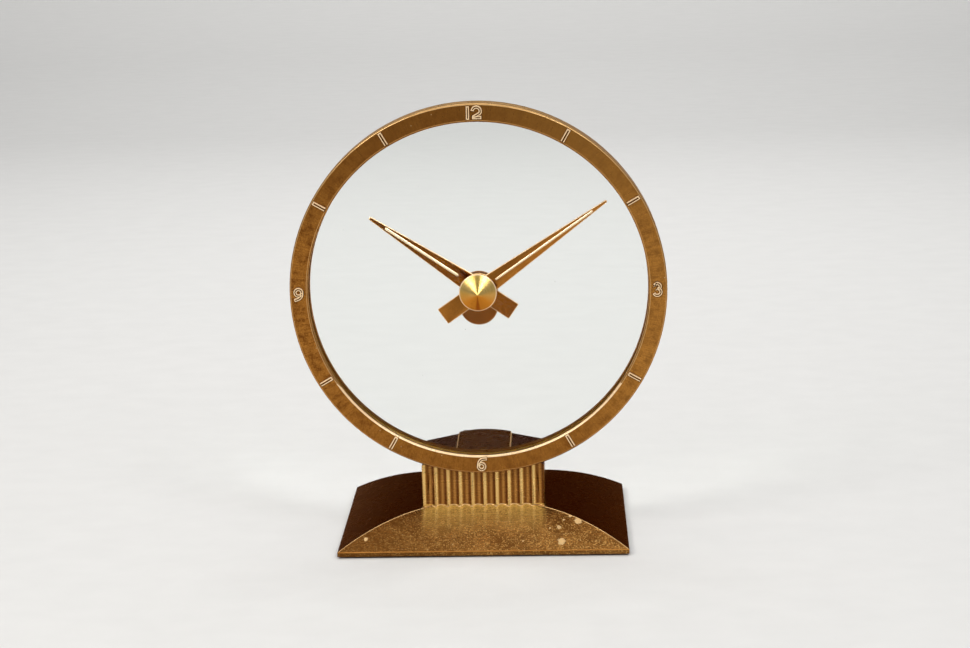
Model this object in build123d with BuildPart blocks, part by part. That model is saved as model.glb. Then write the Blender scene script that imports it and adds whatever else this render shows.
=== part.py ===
from build123d import *
import os
from math import acos, cos, pi, radians, sin, sqrt, tan

# An electric table clock with a turning glass dial, in millimetres.
# X is to the right seen from the front, Y goes back, Z is up.
# The origin is on the table, at the middle of the foot's outline.
# Depths are counted backwards from the front face of the dial ring.
os.makedirs("parts", exist_ok=True)

# Fits
running_gap = 0.05
end_gap = 0.1
clear_gap = 0.3
screw_gap = 0.1

# Gear teeth
pressure_angle = radians(25)
addendum = 0.8
dedendum = 1.0
rim_teeth = 180
rim_module = 1.0
rim_backlash = 0.16
pinion_teeth = 16

# Toothed rim, glass and rollers; angles run counter-clockwise from the right
top_angle = 90
band_wall = 1.0
tooth_seat = 1.0
glass_cover = 1.0
glass_thickness = 3.0
glass_lap = 0.6
rim_front_flange = 0.6
retainer_depth = 0.8
rim_tooth_width = 1.7
roller_r = 2.6
roller_length = 3.1
roller_pin_r = 0.8
roller_head_r = 1.4
roller_head = 0.4
roller_boss_r = 2.0
rim_end_gap = 0.4

# Dial ring
ring_depth = 12.0
ring_split = 6.0
ring_wall = 1.75
front_plate = 2.0
rear_plate = 1.8
front_lip_depth = 3.0
front_lip_width = 1.6
rear_lip_width = 0.7
face_bevel = 0.7
rim_chamfer = 0.6
seam_chamfer = 0.3
ring_screw_count = 6
ring_screw_r = 0.75
ring_screw_head_r = 1.5
ring_screw_length = 8.5
ring_boss_r = 1.5

# Hour markers
marker_length = 6.5
marker_width = 1.7
marker_height = 0.7
marker_taper = 30
marker_edge_gap = 1.3

# Base casting; the foot's curves are given as (in from its edge, up from its underside)
foot_width = 149.0
foot_depth = 107.8
foot_gap = 1.0
lip_height = 2.4
arch_middle = (23.7, 13.0)
arch_top = (63.0, 20.2)
facet_angle = radians(33.8)
rear_middle = (7.4, 10.3)
rear_top_inset = 31.9
casting_wall = 2.2
ring_front_y = -34.5
saddle_height = 37.85
column_half = 31.6
column_step = 4.5
column_front_wall = 2.7
flute_count = 10
flute_depth = 1.2
flute_land = 0.5
crown_drop = 0.1
band_half = 14.0
band_rise = 1.6
band_step = 0.8
roof_fall = 3.8
neck_length = 38.0
neck_slope = 0.214
bulkhead_wall = 2.2
bulkhead_bottom = 20.0
saddle_screw_x = 24.5
saddle_pad_half = 3.5
saddle_pad_depth = 5.0
saddle_screw_r = 1.25
saddle_head_r = 2.1
saddle_head = 1.4

# Bottom plate and feet
plate_thickness = 1.2
plate_recess = 0.4
plate_gap = 0.9
plate_corner_r = 2.0
plate_screw_inset = (24.5, 15.9)
plate_screw_r = 1.5
plate_head_r = 2.8
plate_screw_length = 6.0
plate_boss_r = 3.5
pad_inset = 11.0
pad_r = 5.0

# Cord inlet
inlet_x = 22.0
inlet_z = 8.2
inlet_face_inset = 1.7
inlet_length = 11.0
inlet_bore_r = 2.6
inlet_sleeve_wall = 1.4
inlet_flange_r = 4.7
inlet_flange = 1.0
inlet_boss_wall = 1.0
inlet_spot_gap = 0.9

# Hub and hands
hub_bore_r = 1.5
hub_sleeve_r = 3.0
hub_flange_r = 7.0
hub_flange = 1.0
hub_boss_r = 4.5
hub_washer = 0.4
hub_washer_r = 6.4
hub_nut_r = 5.5
hub_nut_length = 1.0
hand_depth = 0.6
hand_thickness = 0.8
hand_half = 4.65
hand_shoulder_r = 9.0
hand_rib_rise = 0.4
minute_tip_r = 79.5
minute_tip_half = 0.7
minute_tail_r = 22.0
minute_rib_half = 0.6
minute_rib = (11.4, 73.9)
minute_angle = top_angle - 55.2
hour_tip_r = 66.0
hour_tip_half = 0.9
hour_tail_r = 21.5
hour_rib_half = 0.9
hour_rib = (12.0, 57.5)
hour_angle = top_angle + 55.4
cone_r = 9.5
cone_height = 6.0
cone_rim = 0.4
cone_boss_r = 4.0
cone_depth = -0.8
cone_thread = 3.2

# Weight case and motion work
small_backlash = 0.06
center_distance = 7.6
first_pinion_teeth = 10
first_wheel_teeth = 30
second_pinion_teeth = 10
second_wheel_teeth = 40
arbor_r = 1.0
pipe_r = 1.9
stud_r = 0.6
stud_head_r = 1.0
stud_head = 0.4
hub_to_hour_gap = 0.5
case_half = 9.7
case_top_drop = 1.9
case_drop = 9.4
case_wall = 1.0
case_front = 0.8
case_inside = 4.8
cover_thickness = 0.8
hour_wheel_width = 1.0
motion_wheel_width = 0.8
cannon_width = 1.2
case_post_r = 1.0
case_screw_r = 0.5
case_head_r = 1.1
case_head = 0.6
case_screw_length = 3.0
weight_drop = 9.9
cap_r = 2.6
cap_length = 2.0

# Motor
pinion_pitches_from_bottom = 3
drive_pinion_width = 2.2
drive_hub_r = 2.4
motor_shaft_r = 1.5
motor_plate = 1.2
motor_drop = 16.1
motor_axis_x = 8.5
motor_can_r = 14.5
motor_can_length = 18.0
motor_can_bead = 0.8
gear_case_depth = 9.0
gear_case_top_r = 6.2
motor_bearing = 7.0
motor_ear_r = 3.6
motor_ear_gap = 0.8
motor_ear_reach = 17.5
motor_ear_rise = (10.5, 5.0)
motor_screw_r = 1.25
motor_head_r = 2.2
motor_head = 1.2
motor_thread = 1.6

# Set mechanism
set_travel = 2.3
set_pinion_width = 1.7
set_shaft_r = 1.5
set_bush_r = 2.6
set_flange_r = 3.8
set_flange = 1.0
spring_length = 10.2
spring_r = 2.3
spring_wire_r = 0.35
spring_turns = 5
washer_r = 3.4
washer_thickness = 0.8
collar_r = 2.4
collar_length = 1.0
knob_r = 6.5
knob_length = 9.0
knob_skirt = 1.6
knob_cap = 2.0
knob_chamfer = 0.6
knob_grips = 12
knob_grip_r = 1.2

# Radii that follow from the toothed rim
rim_pitch_r = rim_module * rim_teeth / 2
rim_tip_r = rim_pitch_r + addendum * rim_module
rim_root_r = rim_pitch_r - dedendum * rim_module
track_r = rim_root_r - tooth_seat
glass_r = track_r - band_wall
ring_inner_r = glass_r - glass_cover
ring_channel_r = track_r + 2 * roller_r + clear_gap
ring_outer_r = ring_channel_r + ring_wall
roller_center_r = track_r + running_gap + roller_r
ring_screw_center_r = rim_tip_r + ring_boss_r + clear_gap
screw_boss_reach = rim_tip_r + clear_gap

# Depths behind the ring's front face
rim_front = front_lip_depth + clear_gap
glass_front = rim_front + rim_front_flange
glass_back = glass_front + glass_thickness
retainer_back = glass_back + retainer_depth
rear_plate_front = ring_depth - rear_plate
rim_back = rear_plate_front - rim_end_gap
teeth_front = rim_back - rim_tooth_width
roller_back = teeth_front - roller_head - clear_gap - end_gap
roller_front = roller_back - roller_length
pin_seat = front_plate / 2
hand_back = hand_depth + hand_thickness
hub_flange_back = glass_front - hub_washer
hub_flange_front = hub_flange_back - hub_flange
hub_nut_front = glass_back + hub_washer
hub_back = hub_nut_front + hub_nut_length
hour_hand_front = hub_back + hub_to_hour_gap
hour_hand_back = hour_hand_front + hand_thickness
case_front_depth = hour_hand_back + clear_gap
case_inner_depth = case_front_depth + case_front
stud_seat = case_front_depth + case_front / 4
case_back_depth = case_inner_depth + case_inside
cover_back = case_back_depth + cover_thickness
hour_wheel_front = case_inner_depth + clear_gap
hour_wheel_back = hour_wheel_front + hour_wheel_width
motion_wheel_front = hour_wheel_back + clear_gap + end_gap
motion_wheel_back = motion_wheel_front + motion_wheel_width
cap_front = cover_back + end_gap
cap_back = cap_front + cap_length
bulkhead_back = ring_depth + bulkhead_wall
motor_plate_back = bulkhead_back + motor_plate
gear_case_back = motor_plate_back + gear_case_depth
motor_back = gear_case_back + motor_can_length
set_pinion_back = ring_depth - end_gap
set_pinion_front = set_pinion_back - set_pinion_width
drive_pinion_back = rear_plate_front - clear_gap
drive_pinion_front = drive_pinion_back - drive_pinion_width
spring_front = bulkhead_back + set_flange
washer_front = spring_front + spring_length
washer_back = washer_front + washer_thickness
collar_front = washer_back + end_gap

# Heights and planes of the base
dial_height = foot_gap + saddle_height + ring_outer_r
column_front_y = ring_front_y + column_step
ring_rear_y = ring_front_y + ring_depth
neck_rear_y = ring_rear_y + neck_length
roof_crown = foot_gap + saddle_height + ring_outer_r - ring_inner_r - crown_drop
roof_edge = roof_crown - band_rise - band_step
roof_side = roof_edge - roof_fall
inside_front_y = column_front_y + column_front_wall
inside_half = column_half - casting_wall
lip_top = foot_gap + lip_height
plate_bottom = foot_gap + plate_recess
plate_top = plate_bottom + plate_thickness
saddle_screw_y = (inside_front_y + ring_rear_y) / 2
saddle_screw_top = dial_height - sqrt((rim_tip_r + saddle_screw_r) ** 2 - saddle_screw_x**2)
saddle_seat = dial_height - sqrt(ring_outer_r**2 - saddle_screw_x**2)
saddle_pad_bottom = saddle_seat - saddle_pad_depth
inlet_face_depth = foot_depth / 2 - inlet_face_inset - ring_front_y
plate_screw_x = foot_width / 2 - plate_screw_inset[0]
plate_screw_y = foot_depth / 2 - plate_screw_inset[1]
pad_x = foot_width / 2 - pad_inset
pad_y = foot_depth / 2 - pad_inset
inlet_height = foot_gap + inlet_z
inlet_sleeve_r = inlet_bore_r + inlet_sleeve_wall

# Gear trains: a pinion on each side of the bottom, a whole number of rim teeth away
pinion_pitch_r = rim_module * pinion_teeth / 2
pinion_tip_r = pinion_pitch_r + addendum * rim_module
pinion_distance = rim_pitch_r + pinion_pitch_r
pinion_turn = 360 / rim_teeth * pinion_pitches_from_bottom
pinion_x = pinion_distance * sin(radians(pinion_turn))
pinion_z = dial_height - pinion_distance * cos(radians(pinion_turn))
half_pinion_tooth = 180 / pinion_teeth
first_module = 2 * center_distance / (first_pinion_teeth + first_wheel_teeth)
second_module = 2 * center_distance / (second_pinion_teeth + second_wheel_teeth)
first_wheel_tip_r = first_module * (first_wheel_teeth / 2 + addendum)
second_wheel_tip_r = second_module * (second_wheel_teeth / 2 + addendum)
stud_z = dial_height - center_distance
motor_z = pinion_z - motor_drop
motor_ears = [
    (inside_half - motor_ear_gap - motor_ear_r, motor_z + motor_ear_rise[0]),
    (motor_axis_x - motor_ear_reach, motor_z + motor_ear_rise[1]),
]

pieces = {}


def facing(depth):
    """A plane square to the dial axis: x across, y up, extruding towards the front."""
    return Plane(origin=(0, ring_front_y + depth, dial_height), x_dir=(1, 0, 0), z_dir=(0, -1, 0))


def turn(points, x=0.0, z=dial_height, mode=Mode.ADD):
    """Turns an outline of (radius, depth) points about a line from front to back."""
    with BuildSketch(Plane(origin=(x, ring_front_y, z), x_dir=(1, 0, 0), z_dir=(0, 0, 1))) as outline:
        with BuildLine():
            Polyline(*points, close=True)
        make_face()
    revolve(outline.sketch, axis=Axis((x, ring_front_y, z), (0, 1, 0)), mode=mode)


def tube(inner, outer, start, end):
    """The outline of a plain ring: two radii and two depths."""
    return [(inner, start), (outer, start), (outer, end), (inner, end)]


def headed(shank_r, start, seat, head_r, head):
    """The outline of a screw or pin: a shank up to its seat, then a flat head."""
    return [(0, start), (shank_r, start), (shank_r, seat), (head_r, seat), (head_r, seat + head), (0, seat + head)]


def countersunk(shank_r, start, head_r, face):
    """The outline of a screw whose cone shaped head ends level with a face."""
    return [(0, start), (shank_r, start), (shank_r, face - head_r + shank_r), (head_r, face), (0, face)]


def ring_places(radius, angles):
    """Places on a circle about the dial's axis, at angles in degrees from the right."""
    return [(radius * cos(radians(a)), radius * sin(radians(a))) for a in angles]


def involute(angle):
    return tan(angle) - angle


def gear_face(plane, teeth, module, backlash, tooth_at, flank_steps):
    """A stub toothed gear's outline, with the middle of one tooth at an angle in degrees."""
    pitch_r = module * teeth / 2
    base_r = pitch_r * cos(pressure_angle)
    tip_r = pitch_r + addendum * module
    root_r = pitch_r - dedendum * module
    half_at_base = (pi * module / 2 - backlash) / 2 / pitch_r + involute(pressure_angle)
    flank = []
    for step in range(flank_steps + 1):
        r = root_r + (tip_r - root_r) * step / flank_steps
        flank.append((r, half_at_base - involute(acos(min(1.0, base_r / r)))))
    points = []
    for tooth in range(teeth):
        middle = radians(tooth_at) + 2 * pi * tooth / teeth
        rising = [(r, middle - half) for r, half in flank]
        falling = [(r, middle + half) for r, half in reversed(flank)]
        points += [(r * cos(a), r * sin(a)) for r, a in rising + falling]
    with BuildSketch(plane) as outline:
        with BuildLine():
            Polyline(*points, close=True)
        make_face()
    return outline.sketch


# Front half of the ring: a channel open to the back, with a lip in front of the glass
screw_angles = [360 / ring_screw_count * n for n in range(ring_screw_count)]
roller_names = ("roller_top", "roller_left", "roller_right")
roller_angles = {name: top_angle + 360 / len(roller_names) * n for n, name in enumerate(roller_names)}
with BuildPart() as front_ring:
    turn([
        (ring_inner_r, face_bevel),
        (ring_inner_r + face_bevel, 0),
        (ring_outer_r - rim_chamfer, 0),
        (ring_outer_r, rim_chamfer),
        (ring_outer_r, ring_split - seam_chamfer),
        (ring_outer_r - seam_chamfer, ring_split),
        (ring_channel_r, ring_split),
        (ring_channel_r, front_plate),
        (ring_inner_r + front_lip_width, front_plate),
        (ring_inner_r + front_lip_width, front_lip_depth),
        (ring_inner_r, front_lip_depth),
    ])
    with BuildSketch(facing(ring_split)) as screw_bosses:
        with Locations(*ring_places(ring_screw_center_r, screw_angles)):
            Circle(ring_boss_r)
    extrude(amount=ring_split - front_plate)
    with BuildSketch(facing(roller_front - end_gap)) as roller_bosses:
        with Locations(*ring_places(roller_center_r, roller_angles.values())):
            Circle(roller_boss_r)
    extrude(amount=roller_front - end_gap - front_plate)
    with BuildSketch(facing(ring_split)) as screw_holes:
        with Locations(*ring_places(ring_screw_center_r, screw_angles)):
            Circle(ring_screw_r)
    extrude(amount=ring_split - ring_depth + ring_screw_length, mode=Mode.SUBTRACT)
    with BuildSketch(facing(roller_front)) as pin_holes:
        with Locations(*ring_places(roller_center_r, roller_angles.values())):
            Circle(roller_pin_r)
    extrude(amount=roller_front - pin_seat, mode=Mode.SUBTRACT)
pieces["front_ring"] = front_ring

# Rear half of the ring, open at the bottom where the two pinions reach the rim
slot_half = pinion_x + pinion_tip_r + 2 * clear_gap
saddle_block_drop = sqrt(ring_channel_r**2 - saddle_screw_x**2)
with BuildPart() as rear_ring:
    turn([
        (ring_inner_r, ring_depth - seam_chamfer),
        (ring_inner_r + seam_chamfer, ring_depth),
        (ring_outer_r - rim_chamfer, ring_depth),
        (ring_outer_r, ring_depth - rim_chamfer),
        (ring_outer_r, ring_split + seam_chamfer),
        (ring_outer_r - seam_chamfer, ring_split),
        (ring_channel_r, ring_split),
        (ring_channel_r, rear_plate_front),
        (ring_inner_r + rear_lip_width, rear_plate_front),
        (ring_inner_r + rear_lip_width, retainer_back + clear_gap),
        (ring_inner_r, retainer_back + clear_gap),
    ])
    with BuildSketch(facing(rear_plate_front)) as rear_bosses:
        with Locations(*ring_places(ring_screw_center_r, screw_angles)):
            Circle(ring_boss_r)
    extrude(amount=rear_plate_front - ring_split)
    with BuildSketch(facing(rear_plate_front)) as saddle_blocks:
        with Locations((saddle_screw_x, -saddle_block_drop), (-saddle_screw_x, -saddle_block_drop)):
            Rectangle(2 * saddle_head_r, 4 * saddle_head_r)
        Circle(ring_channel_r + ring_wall / 2, mode=Mode.INTERSECT)
        Circle(screw_boss_reach, mode=Mode.SUBTRACT)
    extrude(amount=rear_plate_front - ring_split)
    with BuildSketch(facing(rear_plate_front)) as pinion_slot:
        with Locations((0, -ring_outer_r)):
            Rectangle(2 * slot_half, 2 * (ring_outer_r - rim_tip_r))
    extrude(amount=rear_plate_front - ring_split, mode=Mode.SUBTRACT)
    turn(tube(0, pinion_tip_r + clear_gap, rear_plate_front, ring_depth),
         -pinion_x, pinion_z, Mode.SUBTRACT)
    for x, z in ring_places(ring_screw_center_r, screw_angles):
        turn(countersunk(ring_screw_r + screw_gap, ring_split, ring_screw_head_r + screw_gap, ring_depth),
             x, dial_height + z, Mode.SUBTRACT)
    with BuildSketch(Plane.XY.offset(saddle_screw_top)) as saddle_threads:
        with Locations((saddle_screw_x, saddle_screw_y), (-saddle_screw_x, saddle_screw_y)):
            Circle(saddle_screw_r)
    extrude(amount=-2 * saddle_pad_depth, mode=Mode.SUBTRACT)
pieces["rear_ring"] = rear_ring

with BuildPart() as ring_screws:
    for x, z in ring_places(ring_screw_center_r, screw_angles):
        turn(countersunk(ring_screw_r, ring_depth - ring_screw_length, ring_screw_head_r, ring_depth),
             x, dial_height + z)
pieces["ring_screws"] = ring_screws

# Raised batons at the hours that have no numeral
marker_r = ring_outer_r - marker_edge_gap - marker_length / 2
marker_angles = [angle for angle in range(0, 360, 30) if angle % top_angle]
with BuildPart() as hour_markers:
    with BuildSketch(facing(0)) as batons:
        for angle in marker_angles:
            with Locations(*ring_places(marker_r, [angle])):
                Rectangle(marker_length, marker_width, rotation=angle)
    extrude(amount=marker_height, taper=marker_taper)
pieces["hour_markers"] = hour_markers

# The glass and the toothed rim that carries it
with BuildPart() as glass_disc:
    turn(tube(hub_sleeve_r, glass_r, glass_front, glass_back))
pieces["glass_disc"] = glass_disc

with BuildPart() as ring_gear:
    extrude(gear_face(facing(rim_back), rim_teeth, rim_module, rim_backlash, top_angle, 1), amount=rim_tooth_width)
    with BuildSketch(facing(rim_back)) as inside:
        Circle(glass_r)
    extrude(amount=rim_tooth_width, mode=Mode.SUBTRACT)
    turn([
        (glass_r - glass_lap, rim_front),
        (track_r, rim_front),
        (track_r, teeth_front),
        (glass_r, teeth_front),
        (glass_r, glass_front),
        (glass_r - glass_lap, glass_front),
    ])
pieces["ring_gear"] = ring_gear

with BuildPart() as glass_retaining_ring:
    turn(tube(glass_r - glass_lap, glass_r, glass_back, retainer_back))
pieces["glass_retaining_ring"] = glass_retaining_ring

for name, angle in roller_angles.items():
    x, z = ring_places(roller_center_r, [angle])[0]
    with BuildPart() as roller:
        turn(tube(roller_pin_r + running_gap, roller_r, roller_front, roller_back), x, dial_height + z)
    pieces[name] = roller

with BuildPart() as roller_pins:
    for x, z in ring_places(roller_center_r, roller_angles.values()):
        turn(headed(roller_pin_r, pin_seat, roller_back + end_gap, roller_head_r, roller_head),
             x, dial_height + z)
pieces["roller_pins"] = roller_pins

# Hub through the middle of the glass
with BuildPart() as hub_bushing:
    turn([
        (hub_bore_r, hand_back),
        (hub_boss_r, hand_back),
        (hub_boss_r, hub_flange_front),
        (hub_flange_r, hub_flange_front),
        (hub_flange_r, hub_flange_back),
        (hub_sleeve_r, hub_flange_back),
        (hub_sleeve_r, hub_back),
        (hub_bore_r, hub_back),
    ])
pieces["hub_bushing"] = hub_bushing

with BuildPart() as hub_washers:
    turn(tube(hub_sleeve_r, hub_washer_r, hub_flange_back, glass_front))
    turn(tube(hub_sleeve_r, hub_washer_r, glass_back, hub_nut_front))
pieces["hub_washers"] = hub_washers

with BuildPart() as hub_nut:
    with BuildSketch(facing(hub_back)) as nut:
        RegularPolygon(hub_nut_r, 6)
        Circle(hub_sleeve_r, mode=Mode.SUBTRACT)
    extrude(amount=hub_nut_length)
pieces["hub_nut"] = hub_nut

with BuildPart() as arbor:
    turn([
        (0, cone_depth - cone_thread),
        (hub_bore_r, cone_depth - cone_thread),
        (hub_bore_r, hub_back),
        (arbor_r, hub_back),
        (arbor_r, cap_back),
        (0, cap_back),
    ])
pieces["arbor"] = arbor


def blade(depth, angle, tip_r, tip_half, tail_r, hole_r):
    """A hand's flat blade: a square tail, and a long taper to a rounded tip."""
    with BuildSketch(facing(depth) * Rotation(0, 0, angle)) as outline:
        with BuildLine():
            Polyline(
                (tip_r - tip_half, tip_half),
                (hand_shoulder_r, hand_half),
                (-tail_r, hand_half),
                (-tail_r, -hand_half),
                (hand_shoulder_r, -hand_half),
                (tip_r - tip_half, -tip_half),
            )
            ThreePointArc((tip_r - tip_half, -tip_half), (tip_r, 0), (tip_r - tip_half, tip_half))
        make_face()
        Circle(hole_r, mode=Mode.SUBTRACT)
    return outline.sketch


def rib(depth, angle, reach, half):
    """The raised rib along a hand, between two distances from the centre."""
    with BuildSketch(facing(depth) * Rotation(0, 0, angle)) as outline:
        with Locations(((reach[0] + reach[1]) / 2, 0)):
            SlotOverall(reach[1] - reach[0], 2 * half)
    return outline.sketch


with BuildPart() as minute_hand:
    extrude(blade(hand_back, minute_angle, minute_tip_r, minute_tip_half, minute_tail_r, hub_bore_r),
            amount=hand_thickness)
    extrude(rib(hand_depth, minute_angle, minute_rib, minute_rib_half), amount=hand_rib_rise)
pieces["minute_hand"] = minute_hand

with BuildPart() as hour_hand:
    extrude(blade(hour_hand_back, hour_angle, hour_tip_r, hour_tip_half, hour_tail_r, pipe_r),
            amount=hand_thickness)
    extrude(rib(hour_hand_front, hour_angle, hour_rib, hour_rib_half), amount=hand_rib_rise)
pieces["hour_hand"] = hour_hand

with BuildPart() as cone_nut:
    turn([
        (hub_bore_r, hand_depth),
        (cone_boss_r, hand_depth),
        (cone_boss_r, cone_depth),
        (cone_r, cone_depth),
        (cone_r, cone_depth - cone_rim),
        (0, cone_depth - cone_rim - cone_height),
        (0, cone_depth - cone_thread),
        (hub_bore_r, cone_depth - cone_thread),
    ])
pieces["cone_nut"] = cone_nut

# Motion work, from the arbor by way of the stud to the hour hand's pipe
with BuildPart() as cannon_pinion:
    cannon_back = motion_wheel_back + (cannon_width - motion_wheel_width) / 2
    extrude(gear_face(facing(cannon_back), first_pinion_teeth, first_module, small_backlash, -top_angle, 3),
            amount=cannon_width)
    turn(tube(0, arbor_r, cannon_back - cannon_width, cannon_back), mode=Mode.SUBTRACT)
pieces["cannon_pinion"] = cannon_pinion

below_center = Location((0, -center_distance, 0))
with BuildPart() as motion_wheel:
    wheel_plane = facing(motion_wheel_back) * below_center
    leaf_plane = facing(motion_wheel_front) * below_center
    extrude(gear_face(wheel_plane, first_wheel_teeth, first_module, small_backlash,
                      top_angle + 180 / first_wheel_teeth, 2),
            amount=motion_wheel_width)
    extrude(gear_face(leaf_plane, second_pinion_teeth, second_module, small_backlash, top_angle, 3),
            amount=motion_wheel_front - hour_wheel_front)
    turn(tube(0, stud_r + running_gap, hour_wheel_front, motion_wheel_back), z=stud_z, mode=Mode.SUBTRACT)
pieces["motion_wheel"] = motion_wheel

with BuildPart() as hour_wheel:
    extrude(gear_face(facing(hour_wheel_back), second_wheel_teeth, second_module, small_backlash,
                      180 / second_wheel_teeth - top_angle, 2),
            amount=hour_wheel_width)
    turn(tube(0, pipe_r, hour_hand_front, hour_wheel_front))
    turn(tube(0, arbor_r + running_gap, hour_hand_front, hour_wheel_back), mode=Mode.SUBTRACT)
pieces["hour_wheel"] = hour_wheel

with BuildPart() as motion_stud:
    turn(headed(stud_r, stud_seat, motion_wheel_back + end_gap, stud_head_r, stud_head), z=stud_z)
pieces["motion_stud"] = motion_stud


def case_outline(depth, inset):
    """The weight case's round ended outline, hanging from just below the dial's centre."""
    with BuildSketch(facing(depth)) as outline:
        with Locations((0, -(case_top_drop + case_drop) / 2)):
            SlotCenterToCenter(case_drop - case_top_drop, 2 * (case_half - inset), rotation=90)
    return outline.sketch


# Upright case behind the glass: the weight in its foot keeps it hanging
weight_inner_r = first_wheel_tip_r + clear_gap
case_post_x = second_wheel_tip_r + clear_gap + case_post_r
lower_screw_z = -(case_drop + case_half - case_wall + center_distance + weight_inner_r) / 2
case_screw_places = [(case_post_x, 0), (-case_post_x, 0), (0, lower_screw_z)]
with BuildPart() as weight_case:
    extrude(case_outline(case_back_depth, 0), amount=case_back_depth - case_front_depth)
    extrude(case_outline(case_back_depth, case_wall), amount=case_inside, mode=Mode.SUBTRACT)
    with BuildSketch(facing(case_back_depth)) as posts:
        with Locations(*case_screw_places[:2]):
            Circle(case_post_r)
    extrude(amount=case_inside)
    with BuildSketch(facing(case_back_depth)) as post_holes:
        with Locations(*case_screw_places[:2]):
            Circle(case_screw_r)
    extrude(amount=case_screw_length, mode=Mode.SUBTRACT)
    turn(tube(0, pipe_r + running_gap, case_front_depth, case_inner_depth), mode=Mode.SUBTRACT)
    turn(tube(0, stud_r, stud_seat, case_inner_depth), z=stud_z, mode=Mode.SUBTRACT)
pieces["weight_case"] = weight_case

with BuildPart() as weight_case_cover:
    extrude(case_outline(cover_back, 0), amount=cover_thickness)
    turn(tube(0, arbor_r + running_gap, case_back_depth, cover_back), mode=Mode.SUBTRACT)
    with BuildSketch(facing(cover_back)) as cover_holes:
        with Locations(*case_screw_places):
            Circle(case_screw_r + screw_gap)
    extrude(amount=cover_thickness, mode=Mode.SUBTRACT)
pieces["weight_case_cover"] = weight_case_cover

with BuildPart() as counterweight:
    with BuildSketch(facing(case_back_depth)) as crescent:
        with Locations((0, -case_drop)):
            Circle(case_half - case_wall)
        with Locations((0, -center_distance)):
            Circle(weight_inner_r, mode=Mode.SUBTRACT)
        with Locations((0, case_half - weight_drop)):
            Rectangle(2 * case_half, 2 * case_half, mode=Mode.SUBTRACT)
        with Locations((0, lower_screw_z)):
            Circle(case_screw_r, mode=Mode.SUBTRACT)
    extrude(amount=case_inside)
pieces["counterweight"] = counterweight

with BuildPart() as case_screws:
    for x, z in case_screw_places:
        turn(headed(case_screw_r, case_back_depth - case_screw_length, cover_back, case_head_r, case_head),
             x, dial_height + z)
pieces["case_screws"] = case_screws

with BuildPart() as rear_cap:
    turn(tube(arbor_r, cap_r, cap_front, cap_back))
pieces["rear_cap"] = rear_cap


def foot_form(inset, bottom):
    """The flared foot: a low arch seen from the front, cut to its profile seen from the side."""
    with BuildPart() as form:
        with BuildSketch(Plane.XZ) as arch:
            with BuildLine():
                Polyline((0, bottom), (foot_width / 2, bottom), (foot_width / 2, lip_top))
                flank = ThreePointArc(
                    (foot_width / 2, lip_top),
                    (foot_width / 2 - arch_middle[0], foot_gap + arch_middle[1]),
                    (foot_width / 2 - arch_top[0], foot_gap + arch_top[1]),
                )
                Line(flank @ 1, (0, foot_gap + arch_top[1]))
                mirror(about=Plane.YZ)
            make_face()
            if inset:
                offset(amount=-inset, kind=Kind.INTERSECTION)
        extrude(amount=foot_depth, both=True)
        with BuildSketch(Plane.YZ) as side:
            with BuildLine():
                facet_run = (arch_top[1] - lip_height) / tan(facet_angle)
                Polyline(
                    (-foot_depth / 2 + facet_run, foot_gap + arch_top[1]),
                    (-foot_depth / 2, lip_top),
                    (-foot_depth / 2, bottom),
                    (foot_depth / 2, bottom),
                    (foot_depth / 2, lip_top),
                )
                crown = ThreePointArc(
                    (foot_depth / 2, lip_top),
                    (foot_depth / 2 - rear_middle[0], foot_gap + rear_middle[1]),
                    (foot_depth / 2 - rear_top_inset, foot_gap + arch_top[1]),
                )
                Line(crown @ 1, (-foot_depth / 2 + facet_run, foot_gap + arch_top[1]))
            make_face()
            if inset:
                offset(amount=-inset, kind=Kind.INTERSECTION)
        extrude(amount=foot_width, both=True, mode=Mode.INTERSECT)
    return form.part


def roof_outline(inset, bottom):
    """The column and neck seen from the front, under the plain roof facets."""
    with BuildSketch(Plane.XZ) as outline:
        with BuildLine():
            Polyline(
                (column_half, bottom),
                (column_half, roof_side),
                (band_half, roof_edge),
                (-band_half, roof_edge),
                (-column_half, roof_side),
                (-column_half, bottom),
                close=True,
            )
        make_face()
        if inset:
            offset(amount=-inset, kind=Kind.INTERSECTION)
    return outline.sketch


def band_outline(bottom):
    """The raised middle band of the roof, with its arched top."""
    with BuildSketch(Plane.XZ) as outline:
        with BuildLine():
            edge = roof_edge + band_step
            Polyline((band_half, edge), (band_half, bottom), (-band_half, bottom), (-band_half, edge))
            ThreePointArc((-band_half, edge), (0, roof_crown), (band_half, edge))
        make_face()
    return outline.sketch


def neck_back(z):
    """Where the neck's sloping back lies at a height."""
    return neck_rear_y + neck_slope * (roof_edge - z)


def neck_form(outline, front_y, back_shift):
    """A front view drawn out from a front plane to the neck's sloping back."""
    with BuildPart() as form:
        extrude(outline, amount=foot_depth, both=True)
        with BuildSketch(Plane.YZ) as side:
            with BuildLine():
                Polyline(
                    (front_y, -roof_crown),
                    (front_y, 2 * roof_crown),
                    (neck_back(2 * roof_crown) + back_shift, 2 * roof_crown),
                    (neck_back(-roof_crown) + back_shift, -roof_crown),
                    close=True,
                )
            make_face()
        extrude(amount=foot_width, both=True, mode=Mode.INTERSECT)
    return form.part


# Base casting: foot, fluted column and neck in one hollow piece, open underneath
neck_solid = neck_form(roof_outline(0, foot_gap), column_front_y, 0)
raised_band = neck_form(band_outline(foot_gap), ring_rear_y, band_step)
foot_solid = foot_form(0, foot_gap)
neck_hollow = neck_form(roof_outline(casting_wall, -roof_crown), inside_front_y, -casting_wall)
foot_hollow = foot_form(casting_wall, -foot_gap - casting_wall)

with BuildPart() as plate_bosses:
    with BuildSketch(Plane.XY.offset(plate_top)) as boss_places:
        with GridLocations(2 * plate_screw_x, 2 * plate_screw_y, 2, 2):
            Circle(plate_boss_r)
    extrude(amount=foot_width)
    add(foot_solid, mode=Mode.INTERSECT)

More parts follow.
